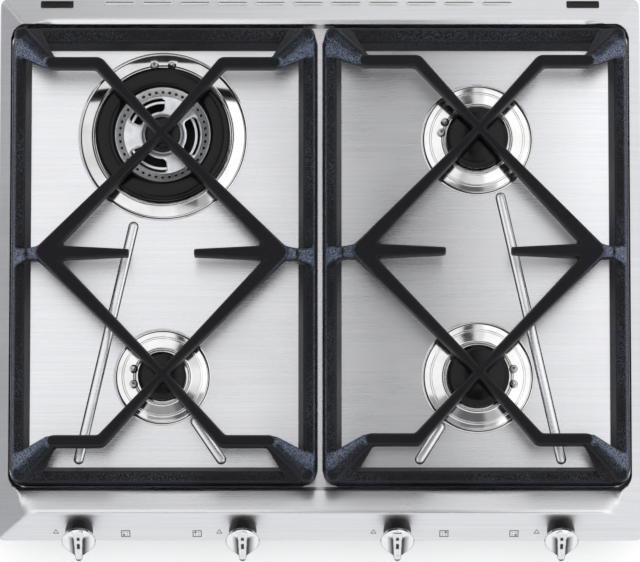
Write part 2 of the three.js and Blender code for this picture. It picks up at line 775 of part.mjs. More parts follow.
// Cup under the steel top that holds the injector, with its gas inlet boss
function injectorCup(burner) {
  const { kind, inlet } = burner;
  const r = kind.cupR;
  const lip = burnerHoleR(kind) + CUP_LIP;
  const top = CASE_TOP;
  const bowl = turned([
    [0, CUP_BOTTOM],
    [r * 0.7, CUP_BOTTOM],
    [r - CUP_WALL, CUP_BOTTOM + 8],
    [r - CUP_WALL, top - 2],
    [lip, top - 2],
    [lip, top],
    [r - 2 * CUP_WALL, top],
    [r - 2 * CUP_WALL, CUP_BOTTOM + 9],
    [r * 0.66, CUP_BOTTOM + 2],
    [4, CUP_BOTTOM + 2],
    [3, CUP_BOTTOM + 8],
    [0, CUP_BOTTOM + 8],
  ], CUP_SIDES);
  const boss = new THREE.CylinderGeometry(BOSS_R, BOSS_R, BOSS_L + 3, sides.pin).rotateZ(rad(90));
  const x = inlet * (r - CUP_WALL + (BOSS_L - 3) / 2);
  return bowl.add(solid(boss.translate(x, 0, OUTLET_Z)));
}

function trimForSpark(manifold, burner) {
  let trimmed = manifold;
  for (const side of [-1, 1]) {
    const spot = sparkPlace(burner, side);
    const hole = cylinder(ELECTRODE_R + GAP, CUP_BOTTOM - 1, 20, sides.pin);
    trimmed = trimmed.subtract(hole.translate(spot.x, spot.y, 0));
  }
  return trimmed;
}

function electrode() {
  const top = BASIN_FLOOR + ELECTRODE_TOP;
  return turned([
    [0, -18],
    [ELECTRODE_R, -18],
    [ELECTRODE_R, top - 6],
    [1.4, top - 4.5],
    [0.9, top - 4.5],
    [0.9, top - 1.6],
    [2, top - 1.6],
    [2, top - 0.4],
    [0, top],
  ], sides.pin);
}

function thermocouple() {
  const top = BASIN_FLOOR + ELECTRODE_TOP - 1;
  return turned([
    [0, -20],
    [PROBE_R + 0.4, -20],
    [PROBE_R + 0.4, top - 9],
    [PROBE_R, top - 8],
    [PROBE_R, top - 1.5],
    [PROBE_R - 0.9, top],
    [0, top],
  ], sides.pin);
}

// ---- Taps and supply pipes ----
const OUTLET_Y = tapPoint(0, -TAP_TO).y + 14;

function tapBody(x) {
  const half = TAP_W / 2;
  const trunk = block(-half, half, -half, half, -TAP_TO, -TAP_FROM);
  const foot = block(-half, half, -half - 5, -half + 1, -TAP_TO, -TAP_TO + 8);
  const bore = cylinder(PLUG_R + GAP, -TAP_FROM - PLUG_L - GAP - 1, -TAP_FROM + 5);
  const turnedBody = onPanel(trunk.add(foot).subtract(bore), x);
  const start = tapPoint(0, -TAP_TO).y - 3;
  const boss = new THREE.CylinderGeometry(BOSS_R, BOSS_R, OUTLET_Y - start, sides.pin);
  const outlet = solid(boss.translate(x, (OUTLET_Y + start) / 2, OUTLET_Z));
  const rail = new THREE.CylinderGeometry(RAIL_R + GAP, RAIL_R + GAP, TAP_W + 10, sides.small);
  const saddle = solid(rail.rotateZ(rad(90)).translate(x, railY, railZ));
  return turnedBody.add(outlet).subtract(saddle);
}

function tapPlug() {
  const top = -TAP_FROM - GAP;
  const body = cylinder(PLUG_R, top - PLUG_L, top);
  const socket = cylinder(SPINDLE_R + GAP, top - PLUG_SOCKET, top + 1);
  return body.subtract(socket);
}

function supplyPipe(burner) {
  const x = KNOB_XS[burner.knob];
  const reach = burner.kind.cupR - CUP_WALL + BOSS_L + GAP;
  const faceX = burner.x + burner.inlet * reach;
  return pipe([
    at(x, OUTLET_Y + GAP, OUTLET_Z),
    at(x, burner.y, OUTLET_Z),
    at(faceX, burner.y, OUTLET_Z),
  ], PIPE_R);
}

// ---- Knobs ----
function knobSkirt() {
  return turnedRing([
    [SPINDLE_R + GAP, KNOB_LIFT],
    [SKIRT_R, KNOB_LIFT],
    [SKIRT_R, SKIRT_TOP],
    [SPINDLE_R + GAP, SKIRT_TOP],
  ], sides.medium);
}

// Finger blade, which rises from the cover's rear to a round tip, hollowed along its top
function bladeBlock(z0) {
  const rear = COVER_R - BLADE_REAR_IN;
  const tipR = BLADE_TIP_W / 2;
  const tip = -(COVER_R + BLADE_TIP_OUT - tipR);
  const rearTop = COVER_EDGE + COVER_BEVEL + BLADE_REAR_RISE;
  const points = [];
  for (const [z, rearZ, extra] of [[z0, z0, 1], [COVER_TOP, rearTop, 0]]) {
    const half = tipR + extra;
    points.push(...ring(-half, half, tip - tipR, tip + tipR, z, tipR * 0.98, 5));
    for (const side of [-1, 1]) points.push(at(side * (BLADE_REAR_W / 2 + extra), rear, rearZ));
  }
  const fall = Math.atan2(COVER_TOP - rearTop, rear - tip);
  const middle = (rear + tip) / 2;
  const top = COVER_TOP - (middle - tip) * Math.tan(fall);
  const groove = new THREE.CylinderGeometry(GROOVE_R, GROOVE_R, GROOVE_L, sides.small);
  groove.rotateX(-fall).translate(0, middle, top - GROOVE_DEPTH + GROOVE_R / Math.cos(fall));
  return hull(points).subtract(solid(groove));
}

function knobCover() {
  const z0 = SKIRT_TOP + GAP;
  const disc = turned([
    [0, z0],
    [COVER_R - 1, z0],
    [COVER_R, z0 + 1],
    [COVER_R, COVER_EDGE],
    [COVER_R - 1.2, COVER_EDGE + COVER_BEVEL],
    [0, COVER_EDGE + COVER_BEVEL],
  ], sides.medium);
  const blade = bladeBlock(z0 + 2);
  const round = cylinder(COVER_R + BLADE_TIP_OUT, z0, COVER_TOP + 1, sides.medium);
  const scoops = [];
  for (const side of [-1, 1]) {
    const bar = new THREE.CylinderGeometry(SCOOP_R, SCOOP_R, 3 * COVER_R, sides.large);
    bar.rotateX(rad(SCOOP_TILT)).rotateZ(side * rad(SCOOP_TURN));
    const x = side * (BLADE_TIP_W / 2 + SCOOP_OUT);
    scoops.push(solid(bar.translate(x, 0, COVER_EDGE + SCOOP_R - SCOOP_DEPTH)));
  }
  const body = disc.subtract(joined(scoops)).add(blade.intersect(round));
  return body.subtract(cylinder(SPINDLE_R + GAP, z0 - 1, z0 + 1.4 + GAP));
}

function spindle() {
  const low = -TAP_FROM - GAP - PLUG_SOCKET + KNOB_TRAVEL + 1;
  return cylinder(SPINDLE_R, low, SKIRT_TOP + GAP + 1.4);
}

// ---- Pan supports ----
const ARM_Z = BASIN_FLOOR + ARM_TOP;
const SUPPORT_Z = BASIN_FLOOR + GAP;

// Section of an arm across the level direction (dx, dy), at a point of its centre line
function armSection([x, y, top, width], dx, dy) {
  const length = Math.hypot(dx, dy);
  const nx = -dy / length;
  const ny = dx / length;
  const out = [];
  for (const side of [-1, 1]) {
    const low = side * width / 2;
    const high = side * (width / 2 - ARM_DRAFT);
    out.push(at(x + nx * high, y + ny * high, top));
    out.push(at(x + nx * low, y + ny * low, top - ARM_H));
  }
  return out;
}

// Straight arm from one station to the next; each is [x, y, top, width]
function arm(a, b) {
  const dx = b[0] - a[0];
  const dy = b[1] - a[1];
  return hull([
    ...armSection(a, dx, dy),
    ...armSection(b, dx, dy),
  ]);
}

// Round post that fills the outside of a bend between two arms
function knuckle([x, y, top, width]) {
  const half = width / 2;
  const disc = (z, r) => {
    const points = [];
    for (let i = 0; i < KNUCKLE_SIDES; i++) {
      const turn = 2 * Math.PI * i / KNUCKLE_SIDES;
      points.push(at(x + r * Math.cos(turn), y + r * Math.sin(turn), z));
    }
    return points;
  };
  return hull([...disc(top, half - ARM_DRAFT), ...disc(top - ARM_H, half)]);
}

function supportFrame(x0, x1, y0, y1) {
  const z0 = SUPPORT_Z;
  const z1 = SUPPORT_Z + FRAME_H;
  const o = FRAME_OUT_DRAFT;
  const inside = FRAME_BASE;
  const slope = FRAME_IN_DRAFT / FRAME_H;
  const outer = hull([
    ...ring(x0, x1, y0, y1, z0, FRAME_CORNER_R),
    ...ring(x0, x1, y0, y1, z0 + 2, FRAME_CORNER_R),
    ...ring(x0 + o, x1 - o, y0 + o, y1 - o, z1, FRAME_CORNER_R - o),
  ]);
  const innerEdge = (z) => {
    const d = inside - slope * (z - z0);
    return ring(x0 + d, x1 - d, y0 + d, y1 - d - FRAME_REAR_EXTRA, z, 5, 3);
  };
  return outer.subtract(hull([...innerEdge(z0 - 1), ...innerEdge(z1 + 1)]));
}

// One support. Its corner arms run from a frame corner up to the level arm, then in
// to a crossing over the burner and on to the two mid hubs, which carry the fingers.
function panSupport(side, cast, rearBurner, frontBurner) {
  const inner = SUPPORT_MID_GAP / 2;
  const x0 = side < 0 ? -inner - SUPPORT_W : inner;
  const x1 = x0 + SUPPORT_W;
  const y0 = FRONT + SUPPORT_FRONT;
  const y1 = REAR - SUPPORT_REAR;
  const low = SUPPORT_Z + FRAME_H - 1;
  const cornerIn = FRAME_CORNER_R * 0.62;
  const hubY = (y0 + y1) / 2 - cast.hubForward;
  const rearCross = [rearBurner[0] + cast.rearOff[0], rearBurner[1] + cast.rearOff[1]];
  const frontCross = [frontBurner[0] + cast.frontOff[0], frontBurner[1] + cast.frontOff[1]];
  const parts = [supportFrame(x0, x1, y0, y1)];
  for (const [x, y] of [rearCross, frontCross]) {
    parts.push(knuckle([x, y, ARM_Z, ARM_W]));
  }
  for (const [sx, edgeX] of [[1, x0], [-1, x1]]) {
    const which = sx === -side ? 'outer' : 'inner';
    const hub = [edgeX + sx * HUB_IN[which], hubY, ARM_Z, HUB_W];
    const web = [edgeX + sx * (HUB_IN[which] - WEB_L), hubY, ARM_Z - WEB_DROP, ARM_W];
    const foot = [edgeX + sx * FOOT_IN, hubY - 1.5, low + 3, FOOT_W];
    const tip = [hub[0] + sx * FINGER_LENGTH, hubY, ARM_Z, FINGER_TIP_W];
    parts.push(knuckle(hub), arm(hub, web), arm(web, foot), arm(hub, tip));
    parts.push(knuckle(web));
    for (const [sy, edgeY, armY, cross, level] of [
      [-1, y1, y1 - cast.rearArmIn, rearCross, REAR_ARM],
      [1, y0, y0 + cast.frontArmIn, frontCross, FRONT_ARM],
    ]) {
      const [startIn, bendIn] = level[which];
      const corner = [edgeX + sx * cornerIn, edgeY + sy * cornerIn, low + 9, ARM_W + 3];
      const start = [edgeX + sx * startIn, armY, ARM_Z, ARM_W];
      const bend = [edgeX + sx * bendIn, armY, ARM_Z, ARM_W];
      const middle = [cross[0], cross[1], ARM_Z, ARM_THIN_W];
      parts.push(arm(corner, start), knuckle(start), arm(start, bend), knuckle(bend));
      parts.push(arm(bend, middle), arm(middle, hub), cornerPost(corner, low));
    }
  }
  return joined(parts);
}

// Root of a corner arm on the frame
function cornerPost([x, y, top, width], low) {
  const half = width / 2;
  return hull([
    ...ring(x - half, x + half, y - half, y + half, low - 8, half * 0.9, 3),
    ...ring(x - half + 1, x + half - 1, y - half + 1, y + half - 1, top, half * 0.8, 3),
  ]);
}

// ---- Assembly ----
const cooktop = new THREE.Group();
const hob = new THREE.Group();
hob.position.z = CASE_DEPTH;
cooktop.add(hob);

piece(hob, 'hob_top', hobTop(), STEEL);
piece(hob, 'bottom_case', bottomCase(), GALVANISED);
piece(hob, 'worktop_seal', worktopSeal(), RUBBER);
piece(hob, 'gas_rail', gasRail(), GALVANISED);
piece(hob, 'gas_inlet_union', gasUnion(), BRASS);
piece(hob, 'mains_gland', mainsGland(), BLACK_PLASTIC);
piece(hob, 'ignition_generator', ignitionGenerator(), BLACK_PLASTIC);
piece(hob, 'rail_bracket', railBracket(), GALVANISED);

for (const burner of burners) {
  const { tag, x, y, kind } = burner;
  const place = new THREE.Group();
  place.position.set(x, y, 0);
  hob.add(place);
  const isLarge = kind === LARGE;
  piece(place, `burner_plate_${tag}`, plateSolid(burner), CHROME);
  piece(place, `injector_cup_${tag}`, trimForSpark(injectorCup(burner), burner), GALVANISED);
  piece(place, `burner_crown_${tag}`, isLarge ? largeCrown(kind) : crownSolid(kind), ALUMINIUM);
  const cap = isLarge ? ringCap(kind) : domeCap(kind.capR, kind.capH, kind.crownR - 6);
  piece(place, `burner_cap_${tag}`, cap, ENAMEL);
  if (isLarge) {
    piece(place, `inner_crown_${tag}`, innerCrown(), ALUMINIUM);
    piece(place, `inner_cap_${tag}`, domeCap(INNER_CAP_R, 5, INNER_CROWN_R - 5), ENAMEL);
  }
  const spark = piece(place, `ignition_electrode_${tag}`, electrode(), CERAMIC);
  spark.position.copy(sparkPlace(burner, 1));
  const probe = piece(place, `flame_probe_${tag}`, thermocouple(), GALVANISED);
  probe.position.copy(sparkPlace(burner, -1));
  piece(hob, `supply_pipe_${tag}`, supplyPipe(burner), ALUMINIUM);
}

KNOB_XS.forEach((x, i) => {
  const place = knobPlace(x);
  hob.add(place);
  piece(place, `knob_cover_${i + 1}`, knobCover(), CHROME);
  piece(place, `knob_skirt_${i + 1}`, knobSkirt(), BLACK_PLASTIC);
  piece(place, `tap_spindle_${i + 1}`, spindle(), BRASS);
  piece(place, `tap_plug_${i + 1}`, tapPlug(), BRASS);
  piece(hob, `tap_body_${i + 1}`, tapBody(x), BRASS);
});

piece(hob, 'pan_support_left',
  panSupport(-1, CAST.left, [-BURNER_X, REAR_LEFT_Y], [-BURNER_X, FRONT_Y]), CAST_IRON);
piece(hob, 'pan_support_right',
  panSupport(1, CAST.right, [BURNER_X, REAR_RIGHT_Y], [BURNER_X, FRONT_Y]), CAST_IRON);

export default cooktop;
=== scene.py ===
"""Looks of a built-in gas hob: pressed steel top, cast pan supports, four burners, knobs.

Sizes are in millimetres on the worktop's level, as a maker's drawing gives them.
"""
import math

import bmesh
import bpy
from mathutils import Matrix, Vector


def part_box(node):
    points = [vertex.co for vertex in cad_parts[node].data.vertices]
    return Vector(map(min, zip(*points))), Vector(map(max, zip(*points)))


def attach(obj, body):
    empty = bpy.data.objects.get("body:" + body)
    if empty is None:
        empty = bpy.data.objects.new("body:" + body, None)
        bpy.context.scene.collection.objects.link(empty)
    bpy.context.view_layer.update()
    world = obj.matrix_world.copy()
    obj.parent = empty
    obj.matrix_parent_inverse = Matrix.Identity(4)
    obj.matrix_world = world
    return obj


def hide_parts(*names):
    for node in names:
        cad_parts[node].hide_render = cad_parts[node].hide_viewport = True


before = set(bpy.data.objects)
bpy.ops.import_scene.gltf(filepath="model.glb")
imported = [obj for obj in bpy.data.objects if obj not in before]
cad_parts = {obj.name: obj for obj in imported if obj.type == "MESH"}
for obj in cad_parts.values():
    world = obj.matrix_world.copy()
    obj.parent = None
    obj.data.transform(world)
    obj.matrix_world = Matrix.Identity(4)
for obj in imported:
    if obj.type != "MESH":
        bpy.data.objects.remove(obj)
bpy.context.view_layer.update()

MM = 0.001
WORKTOP = 44.0          # height of the worktop above the case's underside
SAME = 1e-6             # a distance or a radius under this counts as none

# Steel top
HALF_W = 300.0
HALF_D = 255.0
CORNER_R = 7.0
FRONT_RUN = 1.0         # run per rise of the outer slopes
SIDE_RUN = 1.3
REAR_RUN = 1.6
FLOOR = 1.5
BASIN_HALF_W = 289.0
BASIN_FRONT_Y = -206.0
BASIN_REAR_Y = 227.2
BASIN_R = 13.0
BASIN_SIDE_RUN = 0.12   # run per rise of the side walls
WALL_FOOT_RUN = 0.2     # and of the foot of the console's rear wall
WALL_LEAN = 0.5         # rise per run of the rest of it
RIDGE_AWAY = 25.0       # ridge from the basin floor's edge
RIDGE_RISE = 22.5
REAR_FOOT_RUN = 0.1     # the rear wall's steep foot, run per rise
REAR_SHELF = 11.0       # height of the shelf over it, and its rise per run
REAR_SHELF_RISE = 0.16
REAR_SHELF_END = 268.0  # where it runs out into the corners, and over what length
REAR_SHELF_FADE = 10.0
FLOOR_BEND = 3.2        # blends of the press's bends: round the floor, at the ridges,
RIDGE_BEND = 2.2        # and what the console's ridge has on top
CONSOLE_BEND = 2.6
WALL_BEND = 3.0         # over the foot of the console's rear wall
SLOPE_BEND = 2.0        # where slopes meet, and over the rear shelf
CONSOLE_FROM_Y = -196.0
SHEET = 1.0

# Rear ledge
VENT_XS = [-11 + 35.5 * (i - 5) for i in range(11)]
VENT_L = 26.5
VENT_W = 2.1
VENT_Y = 250.8
SOCKET_XS = [-247.0, 247.0]
SOCKET_L = 28.0
SOCKET_W = 5.5
SOCKET_Y = 249.4

# Burners: plan place, ring sizes, and where the spark plug and the probe stand
BURNERS = {
    "rear_left": dict(
        x=-147, y=124, plate=78, crown=60, cap=63, ports=44, spark=67, at=90, spread=7),
    "rear_right": dict(
        x=147, y=121, plate=51.2, crown=27, cap=29, ports=24, spark=34, at=161, spread=9),
    "front_left": dict(
        x=-147, y=-102.5, plate=44, crown=20.5, cap=22.5, ports=18, spark=27.5, at=180, spread=15),
    "front_right": dict(
        x=147, y=-102.5, plate=51.2, crown=27, cap=29, ports=24, spark=34, at=0, spread=12),
}
PLATE_Z = 1.8
CROWN_Z = 6.1
CAP_Z = 15.4
HEAD_TOP = CAP_Z - 0.3
RING_IN = 44.4          # radii and crown of the large burner's ring cap
RING_OUT = 63.0
RING_RISE = 5.0

KNOB_XS = [-223.0, -71.5, 71.5, 223.0]
KNOB_Y = -243.0
KNOB_Z = 12.0
PANEL_TILT = math.radians(45)


# ---- Shop tools: numbers, colour, nodes and meshes ----
def clamp(value):
    """A number held between 0 and 1."""
    return min(max(value, 0.0), 1.0)


def paint(code):
    """sRGB hex colour as the linear colour that the shader takes."""
    parts = [int(code[i:i + 2], 16) / 255 for i in (0, 2, 4)]
    linear = [c / 12.92 if c <= 0.04045 else ((c + 0.055) / 1.055) ** 2.4 for c in parts]
    return (*linear, 1.0)


def add(tree, kind, inputs=None, **settings):
    """Adds a node with its settings; each input is a value or a socket to link from."""
    made = tree.nodes.new(kind)
    for name, value in settings.items():
        setattr(made, name, value)
    for name, value in (inputs or {}).items():
        if isinstance(value, bpy.types.NodeSocket):
            tree.links.new(value, made.inputs[name])
        else:
            made.inputs[name].default_value = value
    return made


def start_material(name, **surface):
    """A new material; returns it with its tree, its shader and the object coordinates."""
    material = bpy.data.materials.new(name)
    material.use_nodes = True
    tree = material.node_tree
    shader = tree.nodes["Principled BSDF"]
    for socket, value in surface.items():
        shader.inputs[socket.replace("_", " ")].default_value = value
    place = add(tree, "ShaderNodeTexCoord").outputs["Object"]
    return material, tree, shader, place


def grain(tree, place, size, detail=3.0, rough=0.55):
    """Noise whose features are size mm, one for all or for each axis; its grey output."""
    if isinstance(size, (int, float)):
        size = (size, size, size)
    scaled = add(tree, "ShaderNodeMapping", {
        "Vector": place, "Scale": [1 / (length * MM) for length in size],
    })
    noise = add(tree, "ShaderNodeTexNoise", {
        "Vector": scaled.outputs["Vector"], "Scale": 1.0, "Detail": detail, "Roughness": rough,
    })
    return noise.outputs["Fac"]


def spread(tree, value, low=0.0, high=1.0, start=0.3, end=0.7):
    """Maps a grey value from start..end to low..high."""
    return add(tree, "ShaderNodeMapRange", {
        "Value": value, "From Min": start, "From Max": end, "To Min": low, "To Max": high,
    }).outputs["Result"]


def calc(tree, a, b, operation="MULTIPLY"):
    """One operation on two grey values or numbers."""
    return add(tree, "ShaderNodeMath", {0: a, 1: b}, operation=operation).outputs[0]


def stored(tree, name):
    """The number stored on the mesh under a name."""
    return add(tree, "ShaderNodeAttribute", attribute_name=name).outputs["Fac"]


def blend(tree, value, dark, light):
    """Mixes two colours, each a hex code or a socket, by a 0..1 value."""
    made = add(tree, "ShaderNodeMix", {"Factor": value}, data_type="RGBA")
    for place, colour in ((6, dark), (7, light)):
        if isinstance(colour, str):
            made.inputs[place].default_value = paint(colour)
        else:
            tree.links.new(colour, made.inputs[place])
    return made.outputs[2]


def coat(tree, shader, colour, satin=None):
    """Gives a shader its colour, and its roughness where that varies."""
    tree.links.new(colour, shader.inputs["Base Color"])
    if satin:
        tree.links.new(satin, shader.inputs["Roughness"])


def relief(tree, shader, height, strength, depth):
    """Bumps the surface by a grey height; depth is in mm."""
    made = add(tree, "ShaderNodeBump", {
        "Height": height, "Strength": strength, "Distance": depth * MM,
    })
    tree.links.new(made.outputs["Normal"], shader.inputs["Normal"])


def place_point(x, y, z):
    """Millimetres above the worktop to the frame's metres."""
    return (x * MM, y * MM, (z + WORKTOP) * MM)


def mesh_piece(name, points, faces, material, sharp=38.0):
    """A shaded mesh object from points in mm over the worktop."""
    mesh = bpy.data.meshes.new(name)
    mesh.from_pydata([place_point(*p) for p in points], [], faces)
    return finish_mesh(name, mesh, material, sharp)


def clothe(mesh, material, sharp):
    """Gives a mesh its one material, smooth but for edges sharper than the angle."""
    mesh.materials.clear()
    mesh.materials.append(material)
    mesh.shade_smooth()
    mesh.set_sharp_from_angle(angle=math.radians(sharp))


def linked(name, mesh):
    """A new object of a mesh in the scene."""
    made = bpy.data.objects.new(name, mesh)
    bpy.context.scene.collection.objects.link(made)
    return made


def finish_mesh(name, mesh, material, sharp=38.0):
    """Makes the object of a mesh."""
    mesh.name = name
    mesh.validate()
    clothe(mesh, material, sharp)
    return linked(name, mesh)


def baked(source):
    """Plain mesh of an object with its modifiers, which are then removed."""
    graph = bpy.context.evaluated_depsgraph_get()
    mesh = bpy.data.meshes.new_from_object(source.evaluated_get(graph), depsgraph=graph)
    source.modifiers.clear()
    return mesh


def swap_mesh(made, mesh, material, sharp=38.0):
    """Gives an object its baked mesh."""
    old = made.data
    made.data = mesh
    bpy.data.meshes.remove(old)
    clothe(mesh, material, sharp)
    return made


def rework(mesh, change):
    """Runs a change on a mesh's editable form."""
    work = bmesh.new()
    work.from_mesh(mesh)
    change(work)
    work.to_mesh(mesh)
    work.free()
    return mesh


def merge(work):
    """Makes points in the same place one."""
    bmesh.ops.remove_doubles(work, verts=work.verts, dist=SAME)


def drop_loose(work):
    """Clears away points with no face."""
    bmesh.ops.delete(work, geom=[v for v in work.verts if not v.link_faces], context="VERTS")


def outward(made, sharp=None):
    """Merges doubles and turns the faces of a closed mesh outwards; the sharp edges are
    looked for again if an angle is given."""
    def change(work):
        merge(work)
        bmesh.ops.recalc_face_normals(work, faces=work.faces)
    rework(made.data, change)
    if sharp:
        made.data.set_sharp_from_angle(angle=math.radians(sharp))
    return made


def sheet(made, depth, material, sharp=38.0):
    """Gives a surface the thickness of a sheet, in mm below it."""
    wall = made.modifiers.new("thickness", "SOLIDIFY")
    wall.thickness = depth * MM
    wall.offset = -1
    return swap_mesh(made, baked(made), material, sharp)


def cut(made, cutters, material):
    """Cuts other pieces out of a piece, and clears them away."""
    for cutter in cutters:
        hole = made.modifiers.new("hole", "BOOLEAN")
        hole.object = cutter
        hole.solver = "EXACT"
    mesh = baked(made)
    for cutter in cutters:
        bpy.data.objects.remove(cutter)
    return swap_mesh(made, mesh, material)


def moulded(mesh, voxel, passes, swell=0.0):
    """The mesh with every edge rounded, as a mould leaves it; lengths in mm."""
    rough = linked("pattern", mesh)
    mould = rough.modifiers.new("mould", "REMESH")
    mould.mode = "VOXEL"
    mould.voxel_size = voxel * MM
    polish = rough.modifiers.new("polish", "SMOOTH")
    polish.factor = 0.5
    polish.iterations = passes
    if swell:
        grow = rough.modifiers.new("swell", "DISPLACE")
        grow.strength = swell * MM
        grow.mid_level = 0.0
    out = baked(rough)
    bpy.data.objects.remove(rough)
    return out


def store(mesh, name, values):
    """Stores a number on each point of a mesh, for its material."""
    mesh.attributes.new(name, "FLOAT", "POINT").data.foreach_set("value", values)


def show(made, node, body="hob"):
    """Lets a piece stand in for a CAD node and its moving body."""
    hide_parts(node)
    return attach(made, body)


def bands(rows, count, start=0):
    """Quads between rows of count points each; every row closes on itself."""
    for row in range(rows - 1):
        a = start + row * count
        for k in range(count):
            n = (k + 1) % count
            yield (a + k, a + count + k, a + count + n, a + n)


def rect_loop(half_x, half_y, corner, arcs):
    """Outline of a rounded rectangle, anticlockwise, with arcs spaces round a corner."""
    out = []
    for quarter, (sx, sy) in enumerate(((1, 1), (-1, 1), (-1, -1), (1, -1))):
        for k in range(arcs + 1):
            angle = math.pi / 2 * (quarter + k / arcs)
            out.append((sx * (half_x - corner) + corner * math.cos(angle),
                        sy * (half_y - corner) + corner * math.sin(angle)))
    return out


def rounded(profile, steps=4):
    """Profile of (r, z) or (r, z, fillet) with each filleted corner turned to an arc."""
    out = []
    for i, (r, z, *fillet) in enumerate(profile):
        if not fillet or i in (0, len(profile) - 1):
            out.append((r, z))
            continue
        here = Vector((r, z))
        before, after = (Vector(profile[i + side][:2]) - here for side in (-1, 1))
        reach = min(fillet[0], before.length * 0.49, after.length * 0.49)
        a = here + before.normalized() * reach
        b = here + after.normalized() * reach
        for k in range(steps + 1):
            t = k / steps
            out.append(tuple(a * (1 - t) ** 2 + here * 2 * t * (1 - t) + b * t ** 2))
    return out


def turned(name, profile, x, y, material, sides=96, closed=False, sharp=38.0):
    """Turns a profile on a lathe about (x, y); a closed profile makes a ring. Points of
    the profile are (r, z), or (r, z, fillet) for a rounded corner."""
    points, faces, rows = [], [], []
    profile = rounded(profile)
    for r, z in profile:
        if r < SAME:
            rows.append([len(points)] * sides)
            points.append((x, y, z))
            continue
        rows.append(range(len(points), len(points) + sides))
        for k in range(sides):
            angle = 2 * math.pi * k / sides
            points.append((x + r * math.cos(angle), y + r * math.sin(angle), z))
    pairs = list(zip(rows, rows[1:]))
    if closed:
        pairs.append((rows[-1], rows[0]))
    for low, high in pairs:
        for k in range(sides):
            n = (k + 1) % sides
            corner = [low[k], low[n], high[n], high[k]]
            face = [v for i, v in enumerate(corner) if v not in corner[:i]]
            if len(face) > 2:
                faces.append(face)
    return outward(mesh_piece(name, points, faces, material, sharp), sharp)


def cad_copy(node):
    """The CAD node's mesh as a new, merged mesh."""
    return rework(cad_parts[node].data.copy(), merge)


# ---- Finishes ----
def brushed_steel(name, stretch, low, high):
    """Ferritic stainless sheet, belt-brushed from side to side: long fine streaks that
    blur reflections front to back, and a satin that varies from patch to patch. The
    outer slopes are rubbed over again after pressing, which spreads the blur all round."""
    material, tree, shader, place = start_material(name, Metallic=1.0, Anisotropic=stretch)
    lay = add(tree, "ShaderNodeTangent", direction_type="UV_MAP", uv_map="lay").outputs["Tangent"]
    tree.links.new(lay, shader.inputs["Tangent"])
    # The real lines are 0.1 mm wide; they are drawn 0.5 and 2 mm wide so as to show.
    # Height plays no part, so that the lines run on over the slopes.
    fine = grain(tree, place, (60, 0.5, 200), 4.0)
    broad = grain(tree, place, (200, 2.2, 200), 3.0)
    patch = grain(tree, place, (90, 70, 70), 1.0)
    streak = calc(tree, fine, broad)
    bright = blend(tree, spread(tree, streak, start=0.1, end=0.4), "D6D7DA", "E1E1E4")
    satin = calc(tree, spread(tree, fine, -0.02, 0.02), spread(tree, patch, low, high), "ADD")
    # Darker where the ribs' feet carry a painted dark reflection
    coat(tree, shader, blend(tree, stored(tree, "painted_dark_reflection"), bright, "3C3E42"), satin)
    relief(tree, shader, streak, 0.06, 0.05)
    return material


def polished_steel():
    """Stamped stainless, buffed to a mirror, with faint turned lines."""
    material, tree, shader, place = start_material("buffed stainless steel", Metallic=1.0)
    haze = grain(tree, place, 22, 2.0)
    wave = calc(tree, stored(tree, "across"), 7.0)
    rings = add(tree, "ShaderNodeMath", {0: wave}, operation="SINE").outputs[0]
    coat(tree, shader, blend(tree, spread(tree, haze), "D3D2D1", "E4E4E6"),
         spread(tree, haze, 0.07, 0.13))
    relief(tree, shader, rings, 0.03, 0.02)
    return material


GLINT_FADES = (24, 38)  # heights between which the painted glints on a cast support fade out


def cast_enamel():
    """Cast iron under matte black ground-coat enamel: an orange peel left by the sand
    mould. Its colour has painted glints: fine blue-grey specks, more in some patches and
    fading out up on the arms, and brighter, coarser blue-grey on faces where a leg leans
    outwards. Edges are lighter, as wear and as a painted highlight."""
    material, tree, shader, place = start_material(
        "matte enamelled cast iron", Specular_IOR_Level=0.13)
    sand = grain(tree, place, 1.2, 2.0, 0.6)
    swell = grain(tree, place, 60, 1.0)
    height = add(tree, "ShaderNodeSeparateXYZ", {"Vector": place}).outputs["Z"]
    low, high = ((WORKTOP + up) * MM for up in GLINT_FADES)
    # Painted glints: blue-grey specks in the colour, in patches and fading out up on the arms
    rough = calc(tree, spread(tree, swell, 0.25, 0.9, 0.4, 0.6),
                 spread(tree, height, 1.0, 0.2, low, high))
    glint = calc(tree, spread(tree, sand, start=0.45, end=0.66), rough)
    # Faces that lean outwards get a brighter, painted blue-grey glint
    skin = blend(tree, stored(tree, "painted_glint"), blend(tree, glint, "110F12", "424650"),
                 blend(tree, spread(tree, sand, start=0.42, end=0.6), "262A34", "8791A8"))
    # Edges are lightened, as wear and as a painted highlight
    wear_and_highlight = spread(tree, stored(tree, "edge"), 0.0, 0.4, 0.3, 1.0)
    coat(tree, shader, blend(tree, wear_and_highlight, skin, "3A3C43"), spread(tree, swell, 0.36, 0.5))
    relief(tree, shader, sand, 0.6, 0.4)
    return material


def plain_finish(
    name, size, dark, light, satin, bump=(), detail=3.0, even=False, tone_size=None, mark=None,
    **surface,
):
    """A finish whose satin and bump follow a fine grain, and its tone too, or a grain of
    its own. Sizes are in mm, colours hex codes, satin the roughness from and to, and
    bump its strength and depth. An even one keeps to the middle of its two colours. A
    mark is a number stored on the mesh, and the colour that it brings."""
    material, tree, shader, place = start_material(name, **surface)
    tooth = grain(tree, place, size, detail)
    story = grain(tree, place, tone_size, detail) if tone_size else tooth
    tone = blend(tree, story if even else spread(tree, story), dark, light)
    if mark:
        tone = blend(tree, stored(tree, mark[0]), tone, mark[1])
    coat(tree, shader, tone, spread(tree, tooth, *satin))
    if bump:
        relief(tree, shader, tooth, *bump)
    return material


def turned_metal(name, dark, light, satin, size=1.2):
    """A machined or drawn metal: tone and satin vary with a fine tool grain."""
    return plain_finish(name, size, dark, light, satin, (0.15, 0.06), Metallic=1.0)


